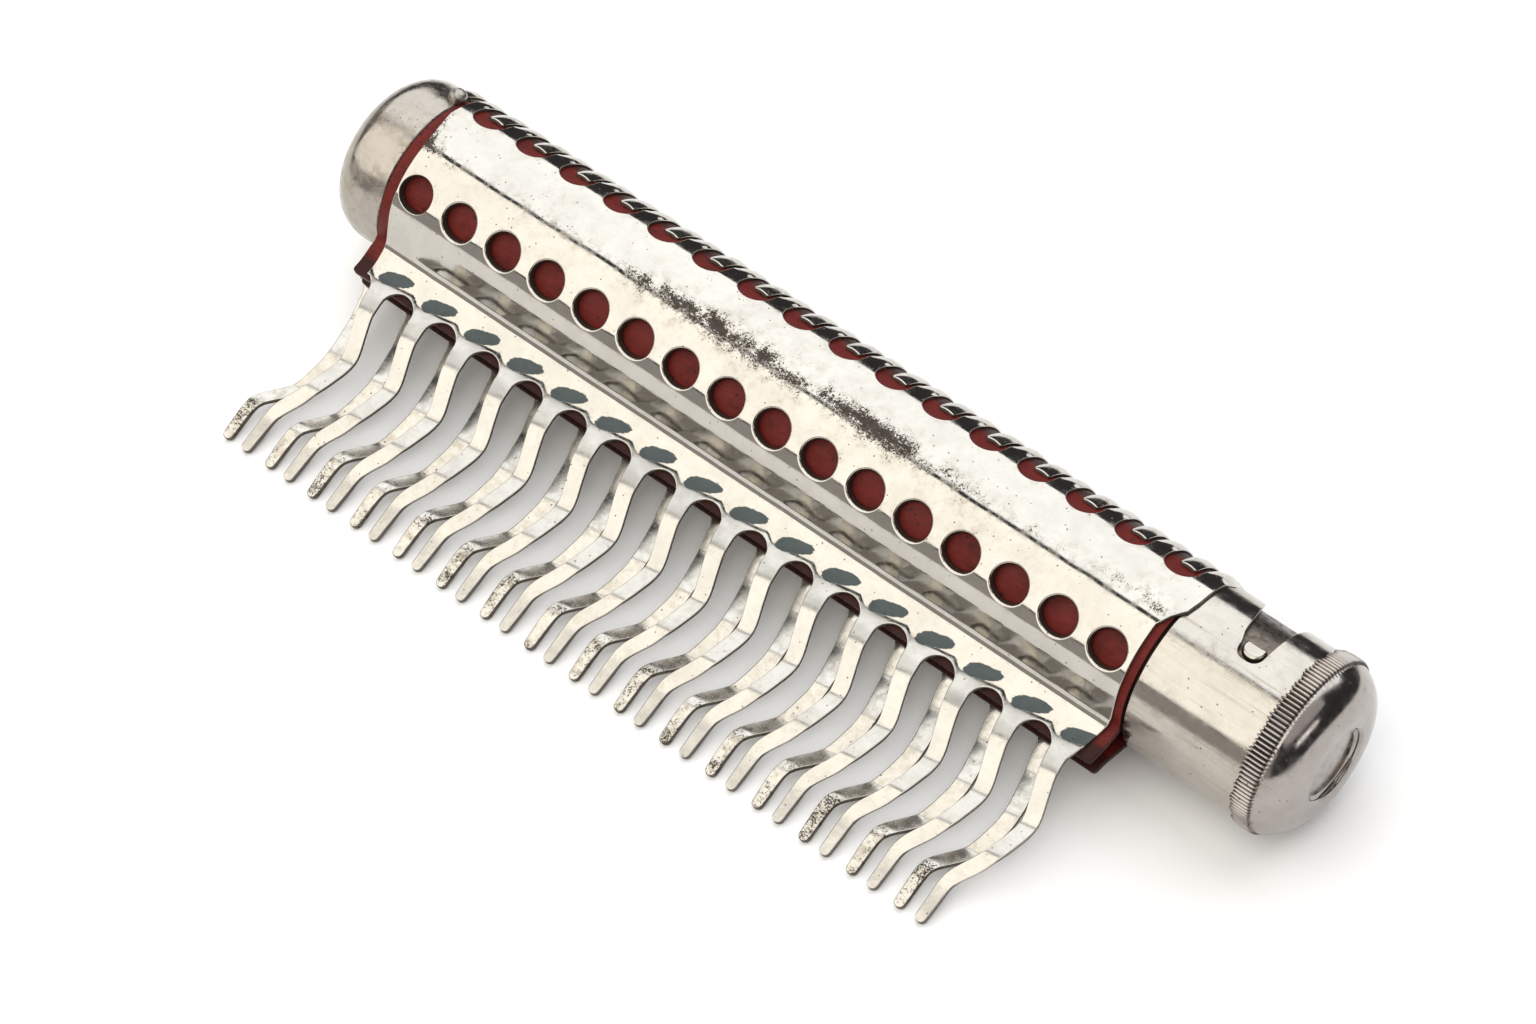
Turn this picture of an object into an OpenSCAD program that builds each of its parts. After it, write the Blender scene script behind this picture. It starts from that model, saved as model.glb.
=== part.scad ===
// Electric massage comb: two sprung comb plates wrapped around a battery tube.
//
// The comb frame has X along the tube's axis, Y towards the spine and Z square to the comb's
// middle plane. lay_down() turns and lifts it, so that the finished comb lies on its tube and
// its tooth tips, with the origin under the middle of its bounding box.

/* [Comb plates] */
// Distance from one tooth to the next
tooth_pitch = 6.5; // [6.2:0.1:6.8]
// Teeth on each comb plate
tooth_count = 16; // [14:1:16]
// Reach of the tooth tips from the tube's axis
tooth_reach = 38.3; // [37.5:0.1:39.5]
// Thickness of the comb plates' sheet metal
plate_t = 0.5; // [0.4:0.05:0.6]
// Diameter of the punched holes
hole_d = 4.5; // [3.6:0.1:4.8]
// Shift of the back plate along the tube, as a part of a tooth's pitch
back_shift = 0.44; // [0.38:0.01:0.46]

/* [Battery tube and cap] */
// Outside diameter of the battery tube
tube_d = 18.8; // [18.6:0.1:18.8]
// Wall thickness of the battery tube
tube_wall = 0.4; // [0.3:0.05:0.5]
// Outside diameter of the cap's sleeve
sleeve_d = 20.4; // [20.2:0.1:20.4]
// Radial play between the cap's sleeve and the battery tube
cap_play = 0.06; // [0.02:0.01:0.1]
// Turn of the cap from its locked place to the open leg of its slot, in degrees
cap_turn = 72; // [50:1:80]
// Diameter of the locking stud
stud_d = 2.4; // [1.8:0.1:2.6]

/* [Dry cells] */
// Diameter of a dry cell
cell_d = 17; // [16:0.1:17]
// Length of a dry cell, with its brass cap
cell_len = 50; // [48:0.5:50]

/* [Hidden] */
$fn = 96;

// Radii around the tube's axis, from the tube outwards
tube_r = tube_d / 2;
tube_in_r = tube_r - tube_wall;
sleeve_r = sleeve_d / 2;
sleeve_in_r = tube_r + cap_play;
liner_r = sleeve_r;
plate_in_r = liner_r + 0.05;
plate_r = plate_in_r + plate_t;
cup_r = sleeve_r;
insulator_t = 0.2;
insulator_play = 0.01;

// Stations along the tube, in tooth pitches from the middle of the space before tooth 1
plate_left = pitches(0.61);
plate_right = pitches(tooth_count + 0.47);
spine_left = pitches(0.50);
spine_right = pitches(tooth_count + 0.79);
liner_left = pitches(0.36);
liner_right = pitches(tooth_count + 0.62);
cup_mouth = liner_left - 0.1;
cup_end = -pitches(0.935);
cup_corner_r = pitches(0.64);
cup_wall = 0.7;
sleeve_left = liner_right + 0.35;
stud_x = pitches(tooth_count + 1.97);
knurl_left = pitches(tooth_count + 2.9);
knurl_w = 2.2;
dome_end = pitches(tooth_count + 3.756);
tube_left = cup_end + cup_corner_r + 0.6;
tube_right = knurl_left - 1.2;

// Angles around the tube, in degrees from straight up the comb's face, positive to the spine
valley_angle = -76;
hole_angle = -27.6;
step_angle = 14;
scallop_angle = 49;
tongue_end_angle = 133;
stud_angle = 20;

// Closure along the spine: round scallops in one plate let the other plate's tongues through
scallop_r = pitches(0.36);
scallop_x = 0.20;

// The back plate's first hole would lie over the cup, so it is left out
back_first_hole = 2;

// Comb plate from the tube to the tooth tips: distance from the axis, then height of the outer
// face over the middle plane, both in tooth pitches
reach = tooth_reach / tooth_pitch;
ledge_h = 0.456;
tip_h = 0.075;
outer_line = [
    [1.55, ledge_h], [1.66, ledge_h], [1.95, 0.39], [2.03, 0.375], [2.12, 0.38],
    [2.72, 0.428], [2.80, 0.43], [2.88, 0.41], [3.50, 0.212], [3.58, 0.20], [3.66, 0.21],
    [4.35, 0.292], [4.43, 0.295], [4.51, 0.268], [5.00, 0.066], [5.08, 0.045], [5.18, 0.046],
    [reach, tip_h]
];

// A tooth's middle line and half widths in the comb's plane, in tooth pitches: sideways from
// the tooth's own station, distance from the axis, half width
tooth_line = [
    [0.02, 2.36, 0.19], [0.03, 2.48, 0.178], [0.10, 2.80, 0.158], [0.19, 3.12, 0.152],
    [0.28, 3.42, 0.150], [0.305, 3.58, 0.149], [0.30, 3.76, 0.147], [0.21, 4.16, 0.142],
    [0.13, 4.42, 0.138], [0.03, 4.62, 0.134], [-0.20, 4.94, 0.126], [-0.265, 5.06, 0.122],
    [-0.28, 5.20, 0.117], [-0.255, reach - 0.1, 0.1]
];
tip_r = 0.1;
gap_r = 0.31;
gap_x = 0.52;
gap_reach = 2.40;
fibre_reach = 2.24;

// The comb lies on the back plate's round side and on the back plate's tooth tips
tip_outer = tip_h * tooth_pitch;
rest_tilt = asin(plate_r / norm([tooth_reach, tip_outer])) - atan2(tip_outer, tooth_reach);
length_mid = (cup_end + dome_end) / 2;
spine_y = plate_r;
tips_y = -tooth_reach * cos(rest_tilt) - tip_outer * sin(rest_tilt);

// Stations of what the tube holds
contact_gap = 0.05;
cell_1_x = tube_left + 0.9;
cell_2_x = cell_1_x + cell_len + contact_gap;
disc_x = cell_2_x + cell_len + contact_gap;
disc_t = 0.5;
dome_wall = 0.6;
recess_r = pitches(0.75);
recess_depth = 0.8;
spring_wire = 0.9;
spring_r = 5.6;
spring_turns = 6;
spring_left = disc_x + disc_t + spring_wire / 2;
spring_right = dome_end - recess_depth - dome_wall - spring_wire / 2 - 0.15;

nickel = [0.78, 0.76, 0.71];
red_fibre = [0.50, 0.07, 0.07];
brass = [0.76, 0.61, 0.32];
zinc = [0.60, 0.62, 0.64];
card = [0.66, 0.55, 0.40];
carbon = [0.13, 0.13, 0.14];

function pitches(n) = n * tooth_pitch;

// Placing -------------------------------------------------------------------------------------

module lay_down() {
    translate([-length_mid, -(spine_y + tips_y) / 2, plate_r])
        rotate([rest_tilt, 0, 0])
            children();
}

module mirrored_plate() {
    translate([-pitches(back_shift), 0, 0])
        mirror([0, 0, 1])
            children();
}

// A flat outline drawn in Y and Z, drawn out along X from x0 to x1
module along_tube(x0, x1) {
    translate([x0, 0, 0])
        rotate([90, 0, 90])
            linear_extrude(height = x1 - x0)
                children();
}

// A disc or ring around the tube's axis, from x0 to x1
module ring(x0, x1, outer, inner = 0) {
    along_tube(x0, x1)
        difference() {
            circle(r = outer);
            if (inner > 0) circle(r = inner);
        }
}

// A revolved outline whose points are [x, radius]
module turned(points) {
    rotate([0, 90, 0])
        rotate_extrude()
            polygon([for (q = points) [q[1], q[0]]]);
}

// A round bar square to the tube's axis, at station x and at an angle around the tube
module radial_bar(x, angle, r, r0, r1) {
    translate([x, 0, 0])
        rotate([-angle, 0, 0])
            translate([0, 0, r0])
                cylinder(r = r, h = r1 - r0);
}

// A pie slice from angle a0 to a1, wide enough for every ring
module pie(a0, a1) {
    steps = ceil((a1 - a0) / 40);
    far = 3 * plate_r;
    polygon(concat([[0, 0]], [
        for (i = [0:steps]) far * [sin(a0 + (a1 - a0) * i / steps), cos(a0 + (a1 - a0) * i / steps)]
    ]));
}

// A curved sheet around the tube, from angle a0 to a1
module shell(x0, x1, outer, inner, a0, a1) {
    along_tube(x0, x1)
        intersection() {
            difference() {
                circle(r = outer);
                circle(r = inner);
            }
            pie(a0, a1);
        }
}

// Comb plates ---------------------------------------------------------------------------------

// A sheet of thickness t whose outer face follows a line of [distance, height] points
module folded_sheet(x0, x1, line, t) {
    outer = [for (q = line) [-pitches(q[0]), pitches(q[1])]];
    inner = [for (i = [len(line) - 1:-1:0]) outer[i] - [0, t]];
    along_tube(x0, x1)
        polygon(concat(outer, inner));
}

function side_step(line, i) =
    let (a = line[max(i - 1, 0)], b = line[min(i + 1, len(line) - 1)], d = [b[0] - a[0], b[1] - a[1]])
    [d[1], -d[0]] / norm(d) * line[i][2];

// One tooth in the comb's plane, with a round tip
module tooth_outline(line) {
    last = len(line) - 1;
    one = [for (i = [0:last]) [line[i][0], line[i][1]] + side_step(line, i)];
    other = [for (i = [last:-1:0]) [line[i][0], line[i][1]] - side_step(line, i)];
    polygon([for (q = concat(one, other)) [pitches(q[0]), -pitches(q[1])]]);
    translate([pitches(line[last][0]), -pitches(line[last][1])])
        circle(r = pitches(tip_r), $fn = 24);
}

// The flat part of the comb seen square on: the ledge under the tube and all the teeth
module comb_outline(left, right) {
    difference() {
        translate([left, -pitches(gap_reach)])
            square([right - left, pitches(gap_reach - 1.5)]);
        for (j = [0:tooth_count])
            translate([pitches(j + gap_x), -pitches(gap_reach)])
                circle(r = pitches(gap_r), $fn = 48);
    }
    for (i = [1:tooth_count])
        translate([pitches(i), 0])
            tooth_outline(tooth_line);
}

module comb_teeth(left, right) {
    intersection() {
        folded_sheet(left - pitches(1), right + pitches(1), outer_line, plate_t);
        translate([0, 0, -pitches(1)])
            linear_extrude(height = pitches(2))
                comb_outline(left, right);
    }
}

// What the closure removes from a plate: a round scallop and the space behind it, per tooth
module closure_cuts() {
    for (j = [0:tooth_count + 1]) {
        x = pitches(j + scallop_x);
        radial_bar(x, scallop_angle, scallop_r, plate_r * 0.8, plate_r * 1.2);
        shell(x - scallop_r, x + scallop_r, plate_r * 1.2, plate_r * 0.8,
            scallop_angle, tongue_end_angle + 3);
    }
}

module comb_plate(left, right, spine_left, spine_right, first_hole) {
    flange = 0.6;
    difference() {
        union() {
            shell(left, right, plate_r, plate_in_r, valley_angle, step_angle);
            difference() {
                shell(spine_left, spine_right, plate_r, plate_in_r, step_angle, tongue_end_angle);
                closure_cuts();
            }
            comb_teeth(left, right);
            for (i = [first_hole:tooth_count])
                radial_bar(pitches(i), hole_angle, hole_d / 2 + 0.3, plate_in_r - flange, plate_in_r + 0.1);
        }
        for (i = [first_hole:tooth_count])
            radial_bar(pitches(i), hole_angle, hole_d / 2, plate_r * 0.7, plate_r * 1.2);
    }
}

module front_comb_plate() {
    color(nickel)
        lay_down()
            comb_plate(plate_left, plate_right, spine_left, spine_right, 1);
}

module back_comb_plate() {
    back_spine_right = spine_right + pitches(back_shift) - 0.4;
    color(nickel)
        lay_down()
            mirrored_plate()
                comb_plate(plate_left, plate_right, spine_left, back_spine_right, back_first_hole);
}

// Fibre liners --------------------------------------------------------------------------------

// Half of the red insulation: a round half around the tube and a leg between the comb plates
module fibre_liner(hole_shift, first_hole) {
    leg_t = 0.7;
    leg_angle = -82;
    leg_start = 1.48;
    drop = (plate_t + 0.05) / tooth_pitch;
    leg_line = concat([[leg_start, ledge_h - drop]],
        [for (q = outer_line) if (q[0] > 1.6 && q[0] < fibre_reach) [q[0], q[1] - drop]]);
    foot = [fibre_reach, leg_line[len(leg_line) - 1][1] + 0.005];
    difference() {
        union() {
            shell(liner_left, liner_right, liner_r, tube_r, leg_angle, 90);
            intersection() {
                folded_sheet(liner_left - pitches(0.1), liner_right, concat(leg_line, [foot]), leg_t);
                translate([0, 0, -pitches(1)])
                    linear_extrude(height = pitches(2))
                        polygon([
                            [liner_left, 0], [liner_right, 0], [liner_right, -pitches(1.6)],
                            [liner_right - pitches(0.1), -pitches(2.3)],
                            [liner_left - pitches(0.07), -pitches(2.3)], [liner_left, -pitches(1.8)]
                        ]);
            }
        }
        for (i = [first_hole:tooth_count])
            radial_bar(pitches(i + hole_shift), hole_angle, hole_d / 2 + 0.35, plate_in_r - 0.65, plate_r);
        if (hole_shift == 0) tag_window();
    }
}

module tag_window() {
    radial_bar(tag_x, tag_angle, tag_r + 0.1, tube_r - 0.1, plate_r);
}

module front_fibre_liner() {
    color(red_fibre)
        lay_down()
            fibre_liner(0, 1);
}

module back_fibre_liner() {
    color(red_fibre)
        lay_down()
            mirror([0, 0, 1])
                fibre_liner(-back_shift, back_first_hole);
}

// Battery tube --------------------------------------------------------------------------------

tag_x = pitches(tooth_count - 0.5);
tag_angle = -2;
tag_r = 1.6;

module battery_tube() {
    color(nickel)
        lay_down()
            difference() {
                ring(tube_left, tube_right, tube_r, tube_in_r);
                radial_bar(stud_x, stud_angle, stud_d / 4, 0, plate_r);
            }
}

// A half-round stud riveted through the tube's wall
module locking_stud() {
    color(nickel)
        lay_down()
            translate([stud_x, 0, 0])
                rotate([-stud_angle, 0, 0]) {
                    translate([0, 0, tube_in_r - 0.15])
                        cylinder(r = stud_d / 4, h = tube_wall + 0.3);
                    intersection() {
                        translate([0, 0, tube_r + 0.8 - stud_d / 2])
                            sphere(r = stud_d / 2);
                        translate([0, 0, tube_r])
                            cylinder(r = stud_d, h = stud_d);
                    }
                }
}

// A brass button soldered between the tube and the front comb plate, under the fibre
module contact_tag() {
    color(brass)
        lay_down()
            intersection() {
                radial_bar(tag_x, tag_angle, tag_r, tube_r - 1, plate_r);
                ring(tag_x - 3, tag_x + 3, plate_in_r, tube_r);
            }
}

// Closed end ----------------------------------------------------------------------------------

// Points of a rounded corner between a side of radius r and a flat end at x, turning outwards
// to the side named by way (1 or -1)
function corner(x, r, bend, way, steps = 12) = [
    for (i = [0:steps])
        let (a = 90 * i / steps)
        [x - way * bend * (1 - cos(a)), r - bend * (1 - sin(a))]
];

module end_cup() {
    inner_r = tube_r + insulator_t;
    color(nickel)
        lay_down()
            difference() {
                turned(concat([[cup_mouth, 0], [cup_end, 0]],
                    corner(cup_end, cup_r, cup_corner_r, -1), [[cup_mouth, cup_r]]));
                turned(concat([[cup_mouth + 1, 0], [cup_end + cup_wall, 0]],
                    corner(cup_end + cup_wall, inner_r, cup_corner_r - cup_wall, -1),
                    [[cup_mouth + 1, inner_r]]));
            }
}

module end_insulator() {
    base_t = 0.4;
    base_hole_r = 3;
    outer_r = tube_r + insulator_t;
    color(red_fibre)
        lay_down() {
            ring(tube_left, cup_mouth, outer_r, tube_r + insulator_play);
            ring(tube_left - base_t, tube_left, outer_r, base_hole_r);
        }
}

module centre_contact() {
    foot_r = 4;
    pin_r = 1.8;
    foot_x = cup_end + cup_wall;
    pin_x = foot_x + 0.8;
    color(brass)
        lay_down() {
            ring(foot_x, pin_x, foot_r);
            ring(pin_x, cell_1_x - contact_gap, pin_r);
        }
}

// The lump that joins the back plate's end tongue to the cup
module solder_bead() {
    bead_r = 1.1;
    bead_x = pitches(0.262);
    bead_angle = 44.6;
    color(nickel)
        lay_down()
            difference() {
                translate([bead_x, 0, 0])
                    rotate([-bead_angle, 0, 0])
                        translate([0, 0, plate_r + 0.1])
                            sphere(r = bead_r);
                ring(bead_x - 2, bead_x + 2, cup_r);
                shell(bead_x - 2, bead_x + 2, plate_r, cup_r - 0.1, 180 - tongue_end_angle, 70);
            }
}

module cell_sleeve() {
    color(card)
        lay_down()
            ring(cell_1_x + 3, cell_2_x + cell_len, tube_in_r, cell_d / 2 + 0.1);
}

// Dry cells -----------------------------------------------------------------------------------

// Parts of one cell: its brass cap points to the closed end and its zinc base to the spring
cap_h = 3;
jacket_t = 0.3;
can_t = 0.4;
paste_t = 1.2;
seal_h = 3;
rod_r = 2.2;
can_r = cell_d / 2 - jacket_t;

module in_tube(tint) {
    color(tint)
        lay_down()
            children();
}

module cell_can(x) {
    base_x = x + cell_len - can_t;
    in_tube(zinc) {
        ring(x + cap_h, base_x, can_r, can_r - can_t);
        ring(base_x, x + cell_len, can_r);
    }
}

module cell_jacket(x) {
    in_tube(card)
        ring(x + cap_h, x + cell_len - 0.8, cell_d / 2, can_r);
}

module cell_bobbin(x) {
    in_tube(carbon)
        ring(x + cap_h + seal_h, x + cell_len - 3, can_r - can_t - paste_t, rod_r);
}

module cell_rod(x) {
    in_tube(carbon)
        ring(x + cap_h - 1, x + cell_len - 4, rod_r);
}

module cell_seal(x) {
    in_tube(carbon)
        ring(x + cap_h, x + cap_h + seal_h, can_r - can_t - 0.01, rod_r);
}

module cell_cap(x) {
    cap_r = rod_r + 0.5;
    in_tube(brass) {
        ring(x, x + cap_h - 1, cap_r);
        ring(x + cap_h - 1, x + cap_h, cap_r, rod_r);
    }
}

// Bayonet cap ---------------------------------------------------------------------------------

// The slot runs around the sleeve from the stud, then along it to the open mouth
module bayonet_slot() {
    half = stud_d / 2 + 0.25;
    far_angle = stud_angle + cap_turn;
    side = asin(half / sleeve_r);
    r0 = tube_r * 0.8;
    r1 = plate_r * 1.1;
    wider = pitches(0.2);
    radial_bar(stud_x, stud_angle, half + 0.02, r0, r1);
    shell(stud_x - half, stud_x + half, r1, r0, stud_angle, far_angle + side);
    shell(stud_x - half - wider, stud_x, r1, r0, stud_angle + 24, far_angle);
    shell(sleeve_left - 1, stud_x, r1, r0, far_angle - side, far_angle + side);
}

module cap_sleeve() {
    color(nickel)
        lay_down()
            difference() {
                ring(sleeve_left, knurl_left, sleeve_r, sleeve_in_r);
                bayonet_slot();
            }
}

// The domed end with its milled rim and its dished middle
module cap_dome() {
    rim_r = plate_r - 0.05;
    dome_bend = 5.3;
    ridge_count = 90;
    seat_x = knurl_left + knurl_w;
    color(nickel)
        lay_down()
            difference() {
                union() {
                    ring(knurl_left, seat_x, rim_r);
                    turned(concat([[knurl_left, 0], [dome_end, 0]],
                        [for (q = corner(dome_end, rim_r, dome_bend, 1)) if (q[0] > seat_x - 0.2) q],
                        [[knurl_left, sleeve_r - 0.05]]));
                }
                ring(knurl_left - 1, seat_x - 0.3, sleeve_in_r);
                turned(concat([[seat_x - 1, 0], [dome_end - recess_depth - dome_wall, 0]],
                    corner(dome_end - recess_depth - dome_wall, sleeve_in_r, dome_bend - 1, 1),
                    [[seat_x - 1, sleeve_in_r]]));
                ring(dome_end - recess_depth, dome_end + 1, recess_r);
                for (k = [0:ridge_count - 1])
                    rotate([k * 360 / ridge_count, 0, 0])
                        translate([knurl_left + 0.3, 0, rim_r + 0.1])
                            rotate([0, 90, 0])
                                cylinder(r = 0.28, h = knurl_w, $fn = 4);
            }
}

// One round turn of the spring's wire at a point of the coil
function spring_ring(t) =
    let (a = 360 * spring_turns * t, x = spring_left + (spring_right - spring_left) * t, sides = 6)
    [for (k = [0:sides - 1])
        let (b = 360 * k / sides, r = spring_r + spring_wire / 2 * cos(b))
        [x + spring_wire / 2 * sin(b), r * cos(a), r * sin(a)]];

module cap_spring() {
    sides = 6;
    rings = spring_turns * 24;
    points = [for (i = [0:rings]) each spring_ring(i / rings)];
    skin = [for (i = [0:rings - 1], k = [0:sides - 1])
        [i * sides + k, i * sides + (k + 1) % sides, (i + 1) * sides + (k + 1) % sides, (i + 1) * sides + k]];
    first = [for (k = [sides - 1:-1:0]) k];
    last = [for (k = [0:sides - 1]) rings * sides + k];
    color(zinc)
        lay_down()
            polyhedron(points = points, faces = concat(skin, [first, last]));
}

module spring_disc() {
    color(brass)
        lay_down()
            ring(disc_x, disc_x + disc_t, spring_r + 1);
}

front_comb_plate();
back_comb_plate();
front_fibre_liner();
back_fibre_liner();
battery_tube();
locking_stud();
contact_tag();
end_cup();
end_insulator();
centre_contact();
solder_bead();
cell_sleeve();
cell_can(cell_1_x);  // cell_1_can
cell_jacket(cell_1_x);  // cell_1_jacket
cell_bobbin(cell_1_x);  // cell_1_bobbin
cell_rod(cell_1_x);  // cell_1_rod
cell_seal(cell_1_x);  // cell_1_seal
cell_cap(cell_1_x);  // cell_1_cap
cell_can(cell_2_x);  // cell_2_can
cell_jacket(cell_2_x);  // cell_2_jacket
cell_bobbin(cell_2_x);  // cell_2_bobbin
cell_rod(cell_2_x);  // cell_2_rod
cell_seal(cell_2_x);  // cell_2_seal
cell_cap(cell_2_x);  // cell_2_cap
cap_sleeve();
cap_dome();
cap_spring();
spring_disc();
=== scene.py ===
"""Electric massage comb: the visible pieces, their finishes, the floor, the light and the camera.

Shapes are worked out in the comb's own frame in millimetres: X along the battery tube, Y towards
the spine and Z square to the comb's middle plane, up through the front plate. lay_down() turns
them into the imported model's frame in metres.
"""

import math

import bmesh
import bpy
import numpy as np
from mathutils import Matrix, Vector
from mathutils.geometry import delaunay_2d_cdt
from mathutils.kdtree import KDTree


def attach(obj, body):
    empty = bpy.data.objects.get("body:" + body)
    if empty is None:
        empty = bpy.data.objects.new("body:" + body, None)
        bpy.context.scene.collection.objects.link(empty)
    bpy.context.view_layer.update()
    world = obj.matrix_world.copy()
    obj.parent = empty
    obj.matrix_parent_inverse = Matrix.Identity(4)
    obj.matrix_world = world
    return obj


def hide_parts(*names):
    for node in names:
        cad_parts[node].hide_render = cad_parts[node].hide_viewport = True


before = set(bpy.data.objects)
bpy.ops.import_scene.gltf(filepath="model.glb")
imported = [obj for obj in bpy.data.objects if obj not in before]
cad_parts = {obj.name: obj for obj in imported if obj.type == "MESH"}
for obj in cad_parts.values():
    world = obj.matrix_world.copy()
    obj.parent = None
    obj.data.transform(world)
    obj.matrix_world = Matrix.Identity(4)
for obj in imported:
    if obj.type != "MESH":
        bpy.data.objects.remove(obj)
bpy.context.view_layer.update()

# Sizes ---------------------------------------------------------------------------------------

PITCH = 6.5
TEETH = 16
REACH = 38.3 / PITCH
SHEET_T = 0.5
TUBE_R = 9.4
TUBE_IN_R = 9.0
SLEEVE_R = 10.2
SLEEVE_IN_R = 9.46
PLATE_R = 10.75
CUP_R = SLEEVE_R
HOLE_R = 2.25
FLANGE_DEPTH = 1.1
PLATE_EDGE = 0.12
BACK_SHIFT = 0.44 * PITCH
CUP_END = -0.935 * PITCH
CUP_MOUTH = 0.36 * PITCH - 0.1
DOME_END = (TEETH + 3.756) * PITCH
LINER_LEFT = 0.36 * PITCH
LINER_RIGHT = (TEETH + 0.62) * PITCH
SLEEVE_LEFT = LINER_RIGHT + 0.35
KNURL_LEFT = (TEETH + 2.9) * PITCH
KNURL_W = 2.2
STUD_X = (TEETH + 1.97) * PITCH
TUBE_LEFT = CUP_END + 0.64 * PITCH + 0.6
TUBE_RIGHT = KNURL_LEFT - 1.2

HOLE_ANGLE = -27.6
SCALLOP_ANGLE = 45
SCALLOP_X = 0.06
SCALLOP_R = 0.33
TONGUE_END = 133
STUD_ANGLE = 20
CAP_TURN = 72

TIP_H = 0.075
REST_TILT = math.asin(PLATE_R / math.hypot(REACH * PITCH, TIP_H * PITCH)) - math.atan2(TIP_H, REACH)
TIPS_Y = -PITCH * (REACH * math.cos(REST_TILT) + TIP_H * math.sin(REST_TILT))
ORIGIN = np.array([-(CUP_END + DOME_END) / 2, -(PLATE_R + TIPS_Y) / 2, PLATE_R])


def turn_about_x(vectors, angle):
    c, s = math.cos(angle), math.sin(angle)
    return vectors @ np.array([[1, 0, 0], [0, c, s], [0, -s, c]])


def lay_down(points):
    """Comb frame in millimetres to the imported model's frame in metres."""
    return (turn_about_x(points, REST_TILT) + ORIGIN) / 1000


def smooth_step(a, b, x):
    t = np.clip((x - a) / (b - a), 0, 1)
    return t * t * (3 - 2 * t)


def unit(vectors):
    return vectors / np.maximum(np.linalg.norm(vectors, axis=-1, keepdims=True), 1e-12)


def ripple(x, v, seed, size, waves=7):
    """A gentle unevenness over a surface, about 1 high, from waves about size long."""
    rng = np.random.default_rng(seed)
    total = np.zeros(np.broadcast(x, v).shape)
    for _ in range(waves):
        way = rng.uniform(0, 2 * np.pi)
        k = 2 * np.pi / (size * rng.uniform(0.6, 1.8))
        total = total + np.sin(k * (np.cos(way) * x + np.sin(way) * v) + rng.uniform(0, 2 * np.pi))
    return total / math.sqrt(waves)


# Mesh making ---------------------------------------------------------------------------------

# Faces that meet at more than this turn keep a sharp edge, in degrees
SHARP, STUD_SHARP = 40, 50


def add_mesh(name, points, normals, faces, edge, material, body, slot, replaced=(), soil_and_shade=None,
             ledge_reflection=None):
    """A piece from points and normals in the comb frame. edge marks worn edges from 0 to 1 and
    painted shade, partly grime, in hollows above 1; the stain marks say how stained each point is
    and, on the liners, where shade is painted behind the tongues; the reflection marks say where a
    dark reflection is painted above the teeth."""
    mesh = bpy.data.meshes.new(name)
    mesh.from_pydata(lay_down(points).tolist(), [], faces)
    for key, marks in (("edge", edge), ("soil_and_shade", soil_and_shade), ("ledge_reflection", ledge_reflection)):
        if marks is not None:
            layer = mesh.attributes.new(key, "FLOAT", "POINT")
            layer.data.foreach_set("value", np.asarray(marks, np.float32))
    mesh.polygons.foreach_set("use_smooth", [True] * len(mesh.polygons))
    if normals is not None:
        mesh.normals_split_custom_set_from_vertices(turn_about_x(normals, REST_TILT).tolist())
    mesh.materials.append(material)
    piece = bpy.data.objects.new(name, mesh)
    bpy.context.scene.collection.objects.link(piece)
    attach(piece, body)
    if replaced:
        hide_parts(*replaced)
    return piece


def round_corners(points, radius, sharpest=35, steps=4):
    """A closed outline with its sharp corners cut to small arcs."""
    made = []
    n = len(points)
    for i in range(n):
        a, b, c = points[i - 1], points[i], points[(i + 1) % n]
        d0, d1 = b - a, c - b
        l0, l1 = np.linalg.norm(d0), np.linalg.norm(d1)
        turn = math.degrees(math.acos(np.clip(d0 @ d1 / (l0 * l1), -1, 1)))
        if turn < sharpest:
            made.append(b)
            continue
        cut = min(radius * math.tan(math.radians(turn) / 2), 0.45 * l0, 0.45 * l1)
        p0, p2 = b - d0 / l0 * cut, b + d1 / l1 * cut
        for k in range(steps + 1):
            t = k / steps
            made.append((1 - t) ** 2 * p0 + 2 * t * (1 - t) * b + t * t * p2)
    return np.array(made)


def fill_in(points, spacing):
    """The same closed outline with no stretch longer than spacing."""
    made = []
    n = len(points)
    for i in range(n):
        a, b = points[i], points[(i + 1) % n]
        length = np.linalg.norm(b - a)
        if length < 0.02:
            continue
        parts = max(1, math.ceil(length / spacing))
        made.extend(a + (b - a) * k / parts for k in range(parts))
    return np.array(made)


def circle(radius, count):
    a = np.arange(count) * 2 * np.pi / count
    return np.stack([np.cos(a), np.sin(a)], 1) * radius


def side_sign(loop, hole):
    """1 where the sheet lies to the left of an outline followed in its own order, else -1."""
    area = np.sum(loop[:, 0] * np.roll(loop[:, 1], -1) - np.roll(loop[:, 0], -1) * loop[:, 1])
    return 1 if (area > 0) != hole else -1


def material_side(loop, hole):
    """The direction into the sheet at each point of an outline."""
    ahead = unit(np.roll(loop, -1, 0) - loop)
    behind = unit(loop - np.roll(loop, 1, 0))
    way = unit(ahead + behind)
    normal = np.stack([-way[:, 1], way[:, 0]], 1)
    stretch = 1 / np.maximum(np.sum(way * ahead, 1), 0.7)
    return normal * side_sign(loop, hole) * stretch[:, None]


def inside(points, loop):
    """Which points lie inside a closed outline."""
    x, y = points[:, 0], points[:, 1]
    hit = np.zeros(len(points), bool)
    a, b = loop, np.roll(loop, -1, 0)
    for (ax, ay), (bx, by) in zip(a, b):
        if ay == by:
            continue
        span = (ay > y) != (by > y)
        hit ^= span & (x < (bx - ax) * (y - ay) / (by - ay) + ax)
    return hit


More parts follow.
